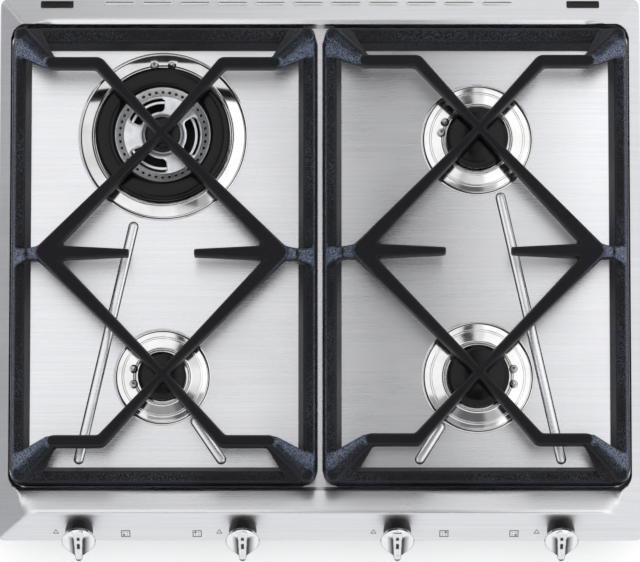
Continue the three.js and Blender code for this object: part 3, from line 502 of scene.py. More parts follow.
def zinc_sheet():
    """Hot-dip galvanised sheet: dull blue-grey with crystals a few millimetres across."""
    material, tree, shader, place = start_material("galvanised steel sheet", Metallic=1.0)
    scaled = add(tree, "ShaderNodeMapping", {"Vector": place, "Scale": (110, 110, 110)})
    flake = add(tree, "ShaderNodeTexVoronoi", {
        "Vector": scaled.outputs["Vector"], "Scale": 1.0, "Randomness": 1.0,
    })
    tone = add(tree, "ShaderNodeSeparateColor", {"Color": flake.outputs["Color"]}).outputs[0]
    coat(tree, shader, blend(tree, tone, "979CA1", "AFB3B7"),
         spread(tree, tone, 0.36, 0.56, 0.0, 1.0))
    relief(tree, shader, grain(tree, place, 1.5), 0.15, 0.1)
    return material


STEEL = brushed_steel("brushed stainless steel sheet", 0.72, 0.25, 0.30)
SLOPES = brushed_steel("satin-rubbed stainless steel", 0.25, 0.40, 0.45)
BUFFED = polished_steel()
CAST = cast_enamel()
# Vitreous enamel fired on pressed caps: a deep gloss with a slow waviness
ENAMEL = plain_finish(
    "gloss black vitreous enamel", 6, "060607", "0C0C0D", (0.14, 0.24), (0.12, 0.15), 2.0,
    tone_size=0.7, Specular_IOR_Level=0.22)
# Burners: pale satin grey with a blasted tooth, with painted shade in the ports and the air box
ALUMINIUM = plain_finish(
    "die-cast aluminium", 0.6, "C4C6CA", "E2E3E6", (0.26, 0.38), (0.3, 0.12),
    tone_size=11, mark=("painted_shade", "121213"), Metallic=1.0)
# A mirror with the faintest haze, with painted dark reflections in its scoops, groove and rim
CHROME = plain_finish(
    "bright chrome plate", 5, "D8DADD", "E6E8EA", (0.09, 0.15), (0.05, 0.1), 2.0, True,
    mark=("chrome_painted_dark", "0C0C0E"), Metallic=1.0)
# A heat-proof moulding with a spark-eroded tooth, so that it shows soft highlights
PLASTIC = plain_finish(
    "black moulded plastic", 0.5, "0A0A0B", "151516", (0.36, 0.5), (0.25, 0.08), 2.0, True,
    Specular_IOR_Level=0.3)
ZINC = zinc_sheet()
BRASS = turned_metal("machined brass", "A0844C", "C4AA72", (0.24, 0.36))
TUBE = turned_metal("drawn aluminium tube", "B4B6BA", "CDCED1", (0.26, 0.4), (1, 9, 1))
CUP = turned_metal("oxidised cup steel", "2C2C2E", "434345", (0.4, 0.55))
PROBE = turned_metal("heat-tinted steel", "4A443E", "6E675F", (0.3, 0.42))
SLEEVE = turned_metal("stainless probe sleeve", "C9C7C3", "E6E5E2", (0.2, 0.3))
SPINDLE = turned_metal("turned steel", "9A9CA0", "BDBFC2", (0.25, 0.38))
CERAMIC = plain_finish(
    "glazed ceramic", 0.8, "DEDAD0", "F2EFE8", (0.2, 0.32), Coat_Weight=0.4, Coat_Roughness=0.08)
FOAM = plain_finish("closed-cell foam strip", 0.9, "17171A", "2B2B2E", (0.8, 0.95), (0.6, 0.4))
INK = plain_finish(
    "screen-printed ink", 0.4, "4C4E52", "63656A", (0.35, 0.5), detail=2.0, even=True)


# ---- Steel top ----
def soft_min(a, b, bend):
    """The smaller of two heights, with the corner between them rounded."""
    near = max(bend - abs(a - b), 0.0) / bend
    return min(a, b) - near * near * bend / 4


def soft_max(a, b, bend):
    """The larger of two heights, with the corner between them rounded."""
    return -soft_min(-a, -b, bend)


def slope_height(x, y):
    """Height of the outer slopes, which rise from the rounded outline."""
    side = HALF_W - abs(x)
    end, run = (y + HALF_D, FRONT_RUN) if y < 0 else (HALF_D - y, REAR_RUN)
    cx, cy = CORNER_R - side, CORNER_R - end
    if cx > 0 and cy > 0:
        inset = CORNER_R - math.hypot(cx, cy)
        return inset * (cx + cy) / (cx * SIDE_RUN + cy * run)
    return soft_min(side / SIDE_RUN, end / run, SLOPE_BEND)


def basin_height(x, y):
    """Height of the basin: a flat floor and walls round it, with round corners."""
    out_y = BASIN_FRONT_Y + BASIN_R - y if y < 0 else y - BASIN_REAR_Y + BASIN_R
    ox = max(abs(x) - BASIN_HALF_W + BASIN_R, 0.0)
    oy = max(out_y, 0.0)
    if ox + oy < 1e-9:
        return FLOOR
    away = math.hypot(ox, oy) - BASIN_R
    share = oy / (ox + oy)
    foot_run = WALL_FOOT_RUN if y < 0 else REAR_FOOT_RUN
    foot = away / (BASIN_SIDE_RUN + (foot_run - BASIN_SIDE_RUN) * share)
    if y < 0:
        # The console's rear wall leaves the floor steeply and leans back to the ridge
        wall = soft_min(foot, RIDGE_RISE - (RIDGE_AWAY - away) * WALL_LEAN, WALL_BEND)
    else:
        share *= clamp((REAR_SHELF_END - abs(x)) / REAR_SHELF_FADE)
        wall = soft_min(foot, REAR_SHELF + REAR_SHELF_RISE * away, SLOPE_BEND)
    return soft_max(FLOOR, FLOOR + foot * (1 - share) + wall * share, FLOOR_BEND)


def top_height(x, y):
    """Height of the finished sheet, with its ridges rounded by the press."""
    console = clamp((CONSOLE_FROM_Y - y) / 20)
    bend = RIDGE_BEND + CONSOLE_BEND * console
    return soft_min(slope_height(x, y), basin_height(x, y), bend)


def lines_between(marks, widest):
    """Sorted marks with lines added so that no space is wider than the given one."""
    marks = sorted(marks)
    kept = [marks[0]]
    for mark in marks[1:]:
        if mark - kept[-1] > 0.25:
            kept.append(mark)
    out = [kept[0]]
    for a, b in zip(kept, kept[1:]):
        count = max(1, math.ceil((b - a) / widest))
        out += [a + (b - a) * k / count for k in range(1, count + 1)]
    return out


def steps(start, end, by):
    """Even steps from start to end, both counted in, each about as long as by."""
    count = round(abs(end - start) / by)
    return [start + (end - start) * k / count for k in range(count + 1)]


def mesh_lines():
    """The top's mesh lines along x and y, close together at its bends and slots."""
    rim = [300, 299.4, 298.4, 297, 295.6] + steps(294.4, 292, 0.6)
    rim += steps(291.6, 287.6, 0.32) + steps(286.6, 276, 1.7)
    xs = [-v for v in rim] + rim
    for x in VENT_XS:
        xs += [x - VENT_L / 2, x - VENT_L / 2 + 0.8, x + VENT_L / 2 - 0.8, x + VENT_L / 2]
    for x in SOCKET_XS:
        xs += [x - SOCKET_L / 2, x + SOCKET_L / 2]
    ys = [-255, -254.4, -253, -251] + steps(-249, -240, 3) + steps(-238, -225.5, 0.83)
    ys += steps(-223, -212, 2.75) + steps(-210, -198, 1.2) + steps(-196, -186, 2.5)
    ys += steps(214, 224, 2) + steps(225, 242, 0.55) + [243, 245]
    ys += [SOCKET_Y - SOCKET_W / 2, SOCKET_Y + SOCKET_W / 2]
    ys += [VENT_Y - VENT_W / 2, VENT_Y + VENT_W / 2, 253.4, 254.4, 255]
    return lines_between(xs, 7.0), lines_between(ys, 7.0)


def into_corner(x, y):
    """Pulls a point beyond a round corner of the outline in onto it."""
    cx = CORNER_R - (HALF_W - abs(x))
    cy = CORNER_R - (HALF_D - abs(y))
    if cx <= 0 or cy <= 0:
        return x, y
    scale = max(cx, cy) / math.hypot(cx, cy)
    return (math.copysign(HALF_W - CORNER_R + cx * scale, x),
            math.copysign(HALF_D - CORNER_R + cy * scale, y))


def press_top():
    """The steel top as one pressed sheet, finely divided at its ridges and slots."""
    xs, ys = mesh_lines()
    spots = [into_corner(x, y) for y in ys for x in xs]
    points = [(x, y, top_height(x, y)) for x, y in spots]
    faces = []
    width = len(xs)
    for j in range(len(ys) - 1):
        for i in range(width - 1):
            if not in_top_hole((xs[i] + xs[i + 1]) / 2, (ys[j] + ys[j + 1]) / 2):
                a = j * width + i
                faces.append((a, a + 1, a + 1 + width, a + width))
    made = mesh_piece("steel_top", points, faces, STEEL)
    rework(made.data, drop_loose)
    mesh = sheet(made, SHEET, STEEL, 50.0).data
    mesh.materials.append(SLOPES)
    for vertex in mesh.vertices:
        vertex.co.z = max(vertex.co.z, WORKTOP * MM)
    mesh.set_sharp_from_angle(angle=math.radians(50.0))
    for face in mesh.polygons:
        x, y, z = face.center / MM
        # The slopes' own faces, but not the sheet's edge that stands on the worktop
        if slope_height(x, y) < basin_height(x, y) and z - WORKTOP > 0.2:
            face.material_index = 1
    return lay_out(made)


def lay_out(made):
    """Gives brushed sheet the map 'lay', whose first axis runs across the brushing."""
    layer = made.data.uv_layers.new(name="lay")
    for loop in made.data.loops:
        spot = made.data.vertices[loop.vertex_index].co
        layer.data[loop.index].uv = (spot.y + spot.z, spot.x)
    return made


def in_top_hole(x, y):
    """Whether a place lies in a vent, a lid socket or a burner's hole."""
    slots = [(at, VENT_Y, VENT_L, VENT_W) for at in VENT_XS]
    slots += [(at, SOCKET_Y, SOCKET_L, SOCKET_W) for at in SOCKET_XS]
    return any(
        abs(x - at_x) < length / 2 and abs(y - at_y) < width / 2
        for at_x, at_y, length, width in slots
    ) or any(
        math.hypot(x - burner["x"], y - burner["y"]) < burner["spark"] + 2
        for burner in BURNERS.values()
    )


RIB_W = 9.5
RIB_H = 1.9
RIB_REFLECTION_SPAN = (0.72, 0.88)     # where the painted dark reflection round a rib's foot comes in, as shares of it
RIB_REFLECTION_DARK = 0.85
RIBS = [
    ((-174.5, 39), (-224.5, -179.5)),
    ((169, 66.5), (224.5, -179.5)),
    ((-116, -144), (-92, -179.5)),
    ((112, -149), (93, -179.5)),
]


def press_ribs():
    """The raised drain ribs, which run out level into the basin's floor."""
    points, faces, painted_dark_reflection = [], [], []
    rings, arcs = 10, 12
    count = 2 * (arcs + 1)
    for start, end in RIBS:
        a, b = Vector(start), Vector(end)
        turn = math.atan2(b.y - a.y, b.x - a.x)
        base = len(points)
        # The last ring goes straight down, into the floor
        for ring in [*range(rings + 1), None]:
            share = 1 if ring is None else ring / rings
            reach = RIB_W / 2 * share
            height = RIB_H * (1 - share ** 3) - 0.03 - (0.4 if ring is None else 0)
            for k in range(count):
                half, step = divmod(k, arcs + 1)
                centre = b if half == 0 else a
                angle = turn - math.pi / 2 + math.pi * (half + step / arcs)
                points.append((centre.x + reach * math.cos(angle),
                               centre.y + reach * math.sin(angle), FLOOR + height))
                # A painted dark reflection where the rib runs into the floor
                painted_dark_reflection.append(RIB_REFLECTION_DARK * clamp(
                    (share - RIB_REFLECTION_SPAN[0]) / (RIB_REFLECTION_SPAN[1] - RIB_REFLECTION_SPAN[0])))
        faces += bands(rings + 2, count, base)
        faces.append(tuple(reversed(range(len(points) - count, len(points)))))
    made = mesh_piece("drain_ribs", points, faces, STEEL)
    store(made.data, "painted_dark_reflection", painted_dark_reflection)
    return lay_out(outward(made))


# ---- Pan supports ----
def cast_support(side):
    """A pan support as cast: the frame's form with webbed corner legs, and every edge
    rounded by the mould."""
    node = f"pan_support_{side}"
    low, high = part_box(node)
    pattern = rework(cad_copy(node), lambda work: add_webs(work, side, low, high))
    voxel, passes = ((1.4, 4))
    mesh = moulded(pattern, voxel, passes, 0.4)
    for vertex in mesh.vertices:
        vertex.co = [min(max(c, a), b) for c, a, b in zip(vertex.co, low, high)]
    mark_edges(mesh)
    mark_painted_glint(mesh, low, high)
    show(finish_mesh(f"cast_support_{side}", mesh, CAST, 180.0), node, node)


LEG_ALONG = 27.0        # corner leg's web along each frame bar
LEG_TOP = 20.0          # and its height where it ends
LEG_NEAR = 50.0         # legs lie this close to the frame's sides
LEG_FROM_Z = 16.0       # and get the painted glint on leaning faces from this height
EDGE_BULGE = 0.12       # how far an edge stands out to be lightened fully, as wear and painted highlight, in mm
# A level arm's start, in from the frame's side, and its line, in from the rear or front
ARM_START = {"outer": (37.5, 41.0), "inner": (39.0, 44.0)}
ARM_IN = {"left": (39.1, 39.0), "right": (37.0, 40.7)}


def add_webs(work, side, low, high):
    """Adds the broad webs between the frame's corners and the level arms."""
    for sx, edge_x in ((1, low[0] / MM), (-1, high[0] / MM)):
        starts = ARM_START["outer" if (side == "left") == (sx > 0) else "inner"]
        ends = zip((-1, 1), (high[1] / MM, low[1] / MM), starts, ARM_IN[side])
        for sy, edge_y, start_x, start_y in ends:
            hull = [
                (3, 7, 24), (7, 3, 24), (6, 6, 14), (3.4, LEG_ALONG, LEG_TOP),
                (14, LEG_ALONG + 2, LEG_TOP), (LEG_ALONG, 3.4, LEG_TOP),
                (LEG_ALONG + 2, 14, LEG_TOP), (9, LEG_ALONG, 12), (LEG_ALONG, 9, 12),
            ]
            for z in (45, 35):
                hull += [(start_x - 5, start_y + 4.5, z), (start_x + 3.5, start_y - 4.5, z)]
            bmesh.ops.convex_hull(work, input=[
                work.verts.new(place_point(edge_x + sx * x, edge_y + sy * y, z))
                for x, y, z in hull
            ])


def mark_edges(mesh):
    """Stores how much each point stands out from its neighbours, 0 to 1, as 'edge'."""
    reach = [Vector() for _ in mesh.vertices]
    links = [0] * len(mesh.vertices)
    for edge in mesh.edges:
        a, b = edge.vertices
        for here, there in ((a, b), (b, a)):
            reach[here] += mesh.vertices[there].co
            links[here] += 1
    store(mesh, "edge", [
        clamp(v.normal.dot(v.co - reach[v.index] / max(links[v.index], 1)) / (EDGE_BULGE * MM))
        for v in mesh.vertices
    ])


def mark_painted_glint(mesh, low, high):
    """Stores, 0 to 1, how much a face of a leg leans out to the near side, where the finish paints
    a bright glint.
    """
    middle = (low[0] + high[0]) / 2
    reach = (high[0] - low[0]) / 2
    painted_glint = []
    for vertex in mesh.vertices:
        spot, normal = vertex.co, vertex.normal
        out = normal.x * math.copysign(1, spot.x - middle)
        inside = (reach - abs(spot.x - middle)) / MM
        high_up = clamp((spot.z / MM - WORKTOP - LEG_FROM_Z) / 5)
        near = clamp((LEG_NEAR - inside) / 10)
        painted_glint.append(clamp((out - 0.25) / 0.3) * clamp((normal.z - 0.2) / 0.25) * high_up * near)
    store(mesh, "painted_glint", painted_glint)


# ---- Burners ----
RING_STEP = 0.66        # the drip ring's step, as a share of its breadth
# Shift of the black ring under a drip ring's rim: the painted shadow lies thicker on one side
SHADOW_RING_SHIFT = (0.55, -0.6)
PIN_HOLE_R = 4.1
PORT_SHARE = 0.58       # a port block's share of the space from port to port
PORT_DEPTH = 1.8


def burner_plate(tag, burner):
    """Buffed drip ring: beaded rim, a groove with a black ring in it as painted shadow under
    the rim, and a cone that rises to the head; holes for the spark plug and the probe."""
    x, y, plate, crown = (burner[key] for key in ("x", "y", "plate", "crown"))
    z = PLATE_Z
    inner, step = crown - 4, crown + (plate - crown) * RING_STEP
    groove = (plate - 1.5, plate - 0.1)
    profile = [
        (inner, z), (plate + 1.4, z, 0.2), (plate + 1.4, z + 0.7, 0.3),
        (plate + 0.3, z + 1.2, 0.3), (groove[1], z + 0.6, 0.1), (groove[0], z + 0.6, 0.1),
        (plate - 1.8, z + 1.6, 0.3),
    ]
    if tag != "rear_left":      # the large burner's ring has no step
        profile += [(step + 1.8, z + 2.4, 0.3), (step + 1.2, z + 2.9, 0.2),
                    (step, z + 3.1, 0.2), (step - 0.4, z + 3.5, 0.2)]
    profile += [
        (crown + 6.4, z + 4.6, 1.5), (crown + 5.2, z + 6.2, 0.6), (crown + 3.8, z + 5.7, 0.4),
        (crown + 3.6, z + 4.0), (inner, z + 4.0),
    ]
    # A black ring in the groove, as painted shadow under the rim
    shadow_ring = turned(f"ring_seal_{tag}", [
        (groove[0], z + 0.5), (groove[1], z + 0.5), (groove[1], z + 0.85, 0.2),
        (groove[0], z + 0.85, 0.2),
    ], x + SHADOW_RING_SHIFT[0], y + SHADOW_RING_SHIFT[1], PLASTIC, 128, closed=True)
    show(shadow_ring, f"burner_plate_{tag}")
    made = turned(f"drip_ring_{tag}", profile, x, y, BUFFED, 128, closed=True)
    drill = [(0, -6), (PIN_HOLE_R, -6), (PIN_HOLE_R, 14), (0, 14)]
    cut(made, [turned("drill", drill, *pin_place(burner, side), BUFFED, 24)
               for side in (1, -1)], BUFFED)
    store(made.data, "across", [
        math.hypot(v.co.x / MM - x, v.co.y / MM - y) for v in made.data.vertices])
    show(made, f"burner_plate_{tag}")


def open_tree(name, inputs):
    """A new Geometry Nodes tree with the given inputs; returns it and their sockets."""
    tree = bpy.data.node_groups.new(name, "GeometryNodeTree")
    for way in ("INPUT", "OUTPUT"):
        tree.interface.new_socket("Geometry", in_out=way, socket_type="NodeSocketGeometry")
    for key, kind in inputs.items():
        tree.interface.new_socket(key, in_out="INPUT", socket_type=f"NodeSocket{kind}")
    return tree, add(tree, "NodeGroupInput").outputs


def close_tree(tree, copies, material):
    """Ends a tree: the copies made real, with their material."""
    solid = add(tree, "GeometryNodeRealizeInstances", {"Geometry": copies})
    done = add(tree, "GeometryNodeSetMaterial", {
        "Geometry": solid.outputs["Geometry"], "Material": material,
    })
    add(tree, "NodeGroupOutput", {"Geometry": done.outputs["Geometry"]})
    return tree


def port_tree():
    """Geometry Nodes: a ring of blocks with the flame ports as the gaps between them."""
    tree, given = open_tree("flame port ring", {
        "Count": "Int", "Radius": "Float", "Block size": "Vector", "Centre": "Vector",
        "Material": "Material",
    })
    ring = add(tree, "GeometryNodeCurvePrimitiveCircle", {
        "Resolution": given["Count"], "Radius": given["Radius"],
    })
    spots = add(tree, "GeometryNodeCurveToPoints", {
        "Curve": ring.outputs["Curve"], "Count": given["Count"],
    })
    block = add(tree, "GeometryNodeMeshCube", {
        "Size": given["Block size"], "Vertices X": 2, "Vertices Y": 2, "Vertices Z": 3,
    })
    place = add(tree, "GeometryNodeInstanceOnPoints", {
        "Points": spots.outputs["Points"], "Instance": block.outputs["Mesh"],
        "Rotation": spots.outputs["Rotation"],
    })
    moved = add(tree, "GeometryNodeTransform", {
        "Geometry": place.outputs["Instances"], "Translation": given["Centre"],
    })
    return close_tree(tree, moved.outputs["Geometry"], given["Material"])


def run_tree(name, tree, values, material, sharp=38.0):
    """Runs a Geometry Nodes tree with the given inputs and keeps its plain mesh."""
    seed = linked(name + "_seed", bpy.data.meshes.new("seed"))
    nodes = seed.modifiers.new("nodes", "NODES")
    nodes.node_group = tree
    for item in tree.interface.items_tree:
        if item.in_out == "INPUT" and item.name in values:
            nodes[item.identifier] = values[item.name]
    mesh = baked(seed)
    bpy.data.objects.remove(seed)
    return finish_mesh(name, mesh, material, sharp)


def copy_tree(name, inputs, points):
    """Geometry Nodes: copies of a pattern piece on the points that a function lays out;
    it gives them, and the copies' rotation or None."""
    tree, given = open_tree(name, {"Pattern": "Object", **inputs, "Material": "Material"})
    spots, turn = points(tree, given)
    pattern = add(tree, "GeometryNodeObjectInfo", {"Object": given["Pattern"]})
    sockets = {"Points": spots.outputs[0], "Instance": pattern.outputs["Geometry"]}
    if turn:
        sockets["Rotation"] = turn
    place = add(tree, "GeometryNodeInstanceOnPoints", sockets)
    return close_tree(tree, place.outputs["Instances"], given["Material"])


def spun(tree, given):
    """Points on one spot, each turned one step further about an upright axis."""
    spots = add(tree, "GeometryNodePoints", {
        "Count": given["Count"], "Position": given["Centre"],
    })
    step = calc(tree, math.tau, given["Count"], "DIVIDE")
    turn = calc(tree, add(tree, "GeometryNodeInputIndex").outputs[0], step)
    return spots, add(tree, "ShaderNodeCombineXYZ", {"Z": turn}).outputs[0]


def rowed(tree, given):
    """Points in a straight row at a pitch."""
    return add(tree, "GeometryNodeMeshLine", {
        "Count": given["Count"], "Start Location": given["Start"], "Offset": given["Pitch"],
    }), None


def at_origin(made):
    """Sinks a pattern piece made over the worktop to the frame's own level."""
    made.data.transform(Matrix.Translation((0, 0, -WORKTOP * MM)))
    return made


def repeat(name, tree, pattern, values, material, sharp=38.0):
    """Runs a tree on a pattern piece, and clears the pattern away."""
    values = {"Pattern": pattern, "Material": material, **values}
    made = run_tree(name, tree, values, material, sharp)
    bpy.data.objects.remove(pattern)
    return made


def burner_head(tag, x, y, crown, ports, tree):
    """Cast head: a drum, a row of ports under the cap, and the rim the cap sits on."""
    z, top = CROWN_Z, HEAD_TOP
    inner = crown - 5
    tube = min(9, crown / 2)
    profile = [
        (tube, z - 16), (tube + 2, z - 16, 0.4), (tube + 2, z, 1.0), (crown, z, 0.8),
        (crown, z + 3.4, 0.5), (crown - 1.6, z + 3.9, 0.3), (crown - 1.8, top, 0.3),
        (inner, top, 0.5), (inner - 1, z + 3, 1.0), (tube + 1, z + 2, 1.0), (tube, z + 1),
    ]
    drum = turned(f"burner_head_{tag}", profile, x, y, ALUMINIUM, 96, closed=True)
    blocks = port_blocks(tag, x, y, crown - 1.2, ports, tree)
    for made in (drum, blocks):
        show(made, f"burner_crown_{tag}")


def port_blocks(tag, x, y, radius, count, tree, low=CROWN_Z + 3.6, high=HEAD_TOP):
    """A ring of flame ports: the gaps between blocks, from one height to another."""
    width = 2 * math.pi * radius / count * PORT_SHARE
    return run_tree(f"flame_ports_{tag}", tree, {
        "Count": count, "Radius": radius * MM,
        "Block size": (PORT_DEPTH * MM, width * MM, (high - low) * MM),
        "Centre": place_point(x, y, (low + high) / 2), "Material": ALUMINIUM,
    }, ALUMINIUM)


def dome_cap(name, node, x, y, radius, height, spigot):
    """Pressed cap: a soft dome over a spigot that drops into the head."""
    z = CAP_Z
    profile = rounded([
        (0, z - 2), (spigot, z - 2, 0.4), (spigot, z, 0.3), (radius, z, 0.3),
        (radius, z + 1.9, 1.4), (radius * 0.86, z + height * 0.70, 3.0),
        (radius * 0.5, z + height * 0.95, 6.0), (0, z + height),
    ], 6)
    show(turned(name, profile, x, y, ENAMEL, 96), node, node)


def ring_cap(x, y):
    """The large burner's ring cap, one smooth crown from rim to rim."""
    middle, half = (RING_IN + RING_OUT) / 2, (RING_OUT - RING_IN) / 2
    profile = [(RING_IN + 1, CAP_Z), (RING_OUT - 0.6, CAP_Z)]
    for k in range(29):
        turn = math.pi * k / 28
        across = math.copysign(abs(math.cos(turn)) ** 0.72, math.cos(turn))
        height = CAP_Z + 0.4 + RING_RISE * math.sin(turn) ** 0.8
        profile.append((middle + half * across, height))
    cap = turned("ring_cap_rear_left", profile, x, y, ENAMEL, 128, closed=True)
    show(cap, "burner_cap_rear_left", "burner_cap_rear_left")


# Large burner's middle, inside the ring cap
BAND_OUT = (43.6, 14.8)     # perforated band: radius and height of its outer edge
BAND_IN = (36.4, 11.2)
BAND_PORTS = 40
HUB_OUT = 20.6
WINDOWS = ((-2, 34), (122, 35), (242, 35))  # middle and half width, degrees
WINDOW_R = (22.2, 34.8)
WINDOW_CORNER = 3.6


def window_gap(x, y):
    """Distance from a point of the middle plate to the nearest window's edge, in mm."""
    r, turn = math.hypot(x, y), math.degrees(math.atan2(y, x))
    mid, half = sum(WINDOW_R) / 2, (WINDOW_R[1] - WINDOW_R[0]) / 2
    best = math.inf
    for place, width in WINDOWS:
        off = abs((turn - place + 180) % 360 - 180)
        dx = math.radians(off) * r - math.radians(width) * r + WINDOW_CORNER
        dy = abs(r - mid) - half + WINDOW_CORNER
        gap = math.hypot(max(dx, 0), max(dy, 0)) + min(max(dx, dy), 0) - WINDOW_CORNER
        best = min(best, gap)
    return best


def pierced_plate(x, y):
    """Middle plate of the large burner, with kidney windows down to the air box. Points
    near a window's edge are moved onto it, and the edge drops in a small lip."""
    rings, turns = 24, 240
    near, nudge = 0.42, 0.05
    points, flat = [], []
    for i in range(rings + 1):
        r = HUB_OUT + (BAND_IN[0] - HUB_OUT) * i / rings
        for k in range(turns):
            angle = 2 * math.pi * k / turns
            px, py = r * math.cos(angle), r * math.sin(angle)
            gap = window_gap(px, py)
            if abs(gap) < near and 1 < i < rings - 1:
                gx = window_gap(px + nudge, py) - window_gap(px - nudge, py)
                gy = window_gap(px, py + nudge) - window_gap(px, py - nudge)
                px, py = px - gx / (2 * nudge) * gap, py - gy / (2 * nudge) * gap
            lip = 0.5 * max(0.0, 1 - abs(window_gap(px, py)) / 1.2)
            flat.append((px, py))
            points.append((x + px, y + py, BAND_IN[1] - lip))
    faces = [
        corners for corners in bands(rings + 1, turns)
        if window_gap(*(sum(flat[c][axis] for c in corners) / 4 for axis in (0, 1))) > 0
    ]
    made = mesh_piece("pierced_plate_rear_left", points, faces, ALUMINIUM)
    rework(made.data, drop_loose)
    return sheet(made, 2.2, ALUMINIUM)


def store_painted_shade(made, shade_below):
    """Stores painted shade, 0 to 1, on the points lower than a height in mm over the worktop."""
    store(made.data, "painted_shade", [
        clamp((shade_below - (v.co.z / MM - WORKTOP)) / 1.5) for v in made.data.vertices])


def port_cell():
    """One cell of the perforated band: a sloping panel with a round port in it, painted dark
    inside as shade.
    """
    half = math.pi / BAND_PORTS
    middle = ((BAND_IN[0] + BAND_OUT[0]) / 2, (BAND_IN[1] + BAND_OUT[1]) / 2)
    slope = Vector((BAND_OUT[0] - BAND_IN[0], 0, BAND_OUT[1] - BAND_IN[1])).normalized()
    normal = Vector((-slope.z, 0, slope.x))
    centre = Vector((middle[0], 0, middle[1]))
    points = [
        (r * math.cos(half * side), r * math.sin(half * side), z)
        for r, z in (BAND_IN, middle, BAND_OUT) for side in (-1, 0, 1)
        if (r, side) != (middle[0], 0)
    ]
    painted_shade = [0.0] * len(points)
    frame_loop = [0, 1, 2, 4, 7, 6, 5, 3]
    rings = []
    for radius, depth, dark in ((1.75, 0.0, 0.0), (1.4, 0.25, 1.0), (1.35, 4.0, 1.0)):
        rings.append(range(len(points), len(points) + 8))
        for k in range(8):
            angle = math.radians(225 + 45 * k)
            spot = centre + slope * radius * math.cos(angle) - normal * depth
            points.append((spot.x, spot.y + radius * math.sin(angle), spot.z))
            painted_shade.append(dark)
    faces = []
    for k in range(8):
        n = (k + 1) % 8
        # The frame's loop and the port's rings run opposite ways from the same corner
        faces.append((frame_loop[k], frame_loop[n], rings[0][-n % 8], rings[0][-k % 8]))
        faces += [(low[k], low[n], high[n], high[k]) for low, high in zip(rings, rings[1:])]
    faces.append(tuple(rings[-1]))
    cell = mesh_piece("port_cell", points, faces, ALUMINIUM, 30)
    store(cell.data, "painted_shade", painted_shade)
    return cell


def large_burner(x, y, blocks_tree, spin):
    """The double-ring head: outer drum with ports, perforated band, pierced plate, and
    the inner flame's seat and drum."""
    z, top = CROWN_Z, HEAD_TOP
    band_out, band_top = BAND_OUT
    seat = BAND_IN[1]

    def ring(name, profile, sides=128):
        return turned(name, profile, x, y, ALUMINIUM, sides, closed=True)

    drum = ring("burner_head_rear_left", [
        (38.5, z + 0.1), (60, z, 0.8), (60, z + 3.4, 0.5), (58.2, z + 3.9, 0.3),
        (58, top, 0.3), (55, top, 0.4), (54, z + 3.2, 1.0), (48, z + 3.2, 1.0),
        (47, top, 0.4), (44.2, top, 0.3), (band_out, band_top), (band_out + 0.8, band_top - 3),
        (38.5, z + 2),
    ])
    hub = ring("inner_seat_rear_left", [
        (6, z - 16), (8, z - 16, 0.3), (8.2, z - 1, 0.8), (19, z + 0.2, 0.6),
        (HUB_OUT + 0.4, z + 3, 0.4), (HUB_OUT + 0.3, seat + 0.2, 0.3), (20.4, seat + 1.2, 0.5),
        (18.6, seat + 0.6, 0.6), (17.8, seat - 1.0, 0.5), (16.2, seat - 1.6, 0.3), (6, z + 3),
    ], 96)
    band = repeat("perforated_band_rear_left", spin, at_origin(port_cell()), {
        "Count": BAND_PORTS, "Centre": place_point(x, y, 0),
    }, ALUMINIUM, 30)
    outward(band, 30)
    plate = pierced_plate(x, y)
    ridge = ring("air_box_ridge_rear_left", [
        (30.2, z - 2), (32.8, z - 2), (32.8, z + 2.4, 1.0), (30.2, z + 2.4, 1.0)])
    # Painted shade on the parts below the plate's seat, down in the air box
    for made in (drum, hub, plate):
        store_painted_shade(made, seat - 1.2)
    blocks = port_blocks("rear_left", x, y, 58.6, BURNERS["rear_left"]["ports"], blocks_tree)
    for made in (drum, hub, band, plate, ridge, blocks):
        show(made, "burner_crown_rear_left")
    inner = ring("inner_head_rear_left", [
        (6, z + 3), (15.4, z + 3.2, 0.4), (15.4, z + 6.2, 0.5), (14.2, z + 6.6, 0.3),
        (14, top, 0.3), (11, top, 0.4), (10.4, z + 5, 0.8), (6, z + 5),
    ], 72)
    blocks = port_blocks("inner", x, y, 14.6, 16, blocks_tree, z + 6.4)
    for made in (inner, blocks):
        show(made, "inner_crown_rear_left")


def pin_place(burner, side):
    """Plan place of a burner's spark plug (side 1) or flame probe (side -1)."""
    turn = math.radians(burner["at"] + side * burner["spread"])
    reach = burner["spark"]
    return burner["x"] + reach * math.cos(turn), burner["y"] + reach * math.sin(turn)


def spark_parts(tag, burner):
    """The ceramic spark plug with its steel tip, and the flame probe beside it."""
    plug, tip, probe = (
        [(0, -18), (2.9, -18, 0.3), (2.9, 12.0, 0.7), (1.7, 13.2, 0.4), (1.4, 13.4), (0, 13.4)],
        [(0, 13), (0.7, 13, 0.1), (0.7, 16.6, 0.2), (1.3, 16.8, 0.2), (1.2, 18.1, 0.4),
         (0, 18.4)],
        [(0, -20), (2.4, -20, 0.3), (2.4, 8.5, 0.4), (1.9, 9.2, 0.3), (1.9, 15.8, 1.0),
         (1.0, 17.5, 0.5), (0, 17.5)],
    )
    for name, profile, side, material, sides, node, slot in (
        ("spark_plug", plug, 1, CERAMIC, 28, "ignition_electrode", "ceramic"),
        ("spark_tip", tip, 1, PROBE, 24, "ignition_electrode", "ceramic"),
        ("flame_probe_turned", probe, -1, SLEEVE, 28, "flame_probe", "probe_steel"),
    ):
        x, y = pin_place(burner, side)
        made = turned(f"{name}_{tag}", profile, x, y, material, sides)
        show(made, f"{node}_{tag}")


# ---- Knobs ----
BLADE_REAR_HALF = 4.6   # half widths of the blade and of the groove in it
BLADE_TIP_HALF = 3.2
GROOVE_HALF = 1.9
GROOVE_SPOTS = ((6.6, 1.7), (-1.4, 2.9))    # place along the blade and half length
COVER_R = 15.8
COVER_FACE = 23.9       # height of the cover's face over the panel
SCOOP_END = 9.0         # and the scoops' end on it
SCOOP_WIDTHS = (4.5, 6.0)   # how wide the painted dark reaches in the left and right scoops
RIM_TO = 4.0            # the painted dark rim runs from the tip round to here
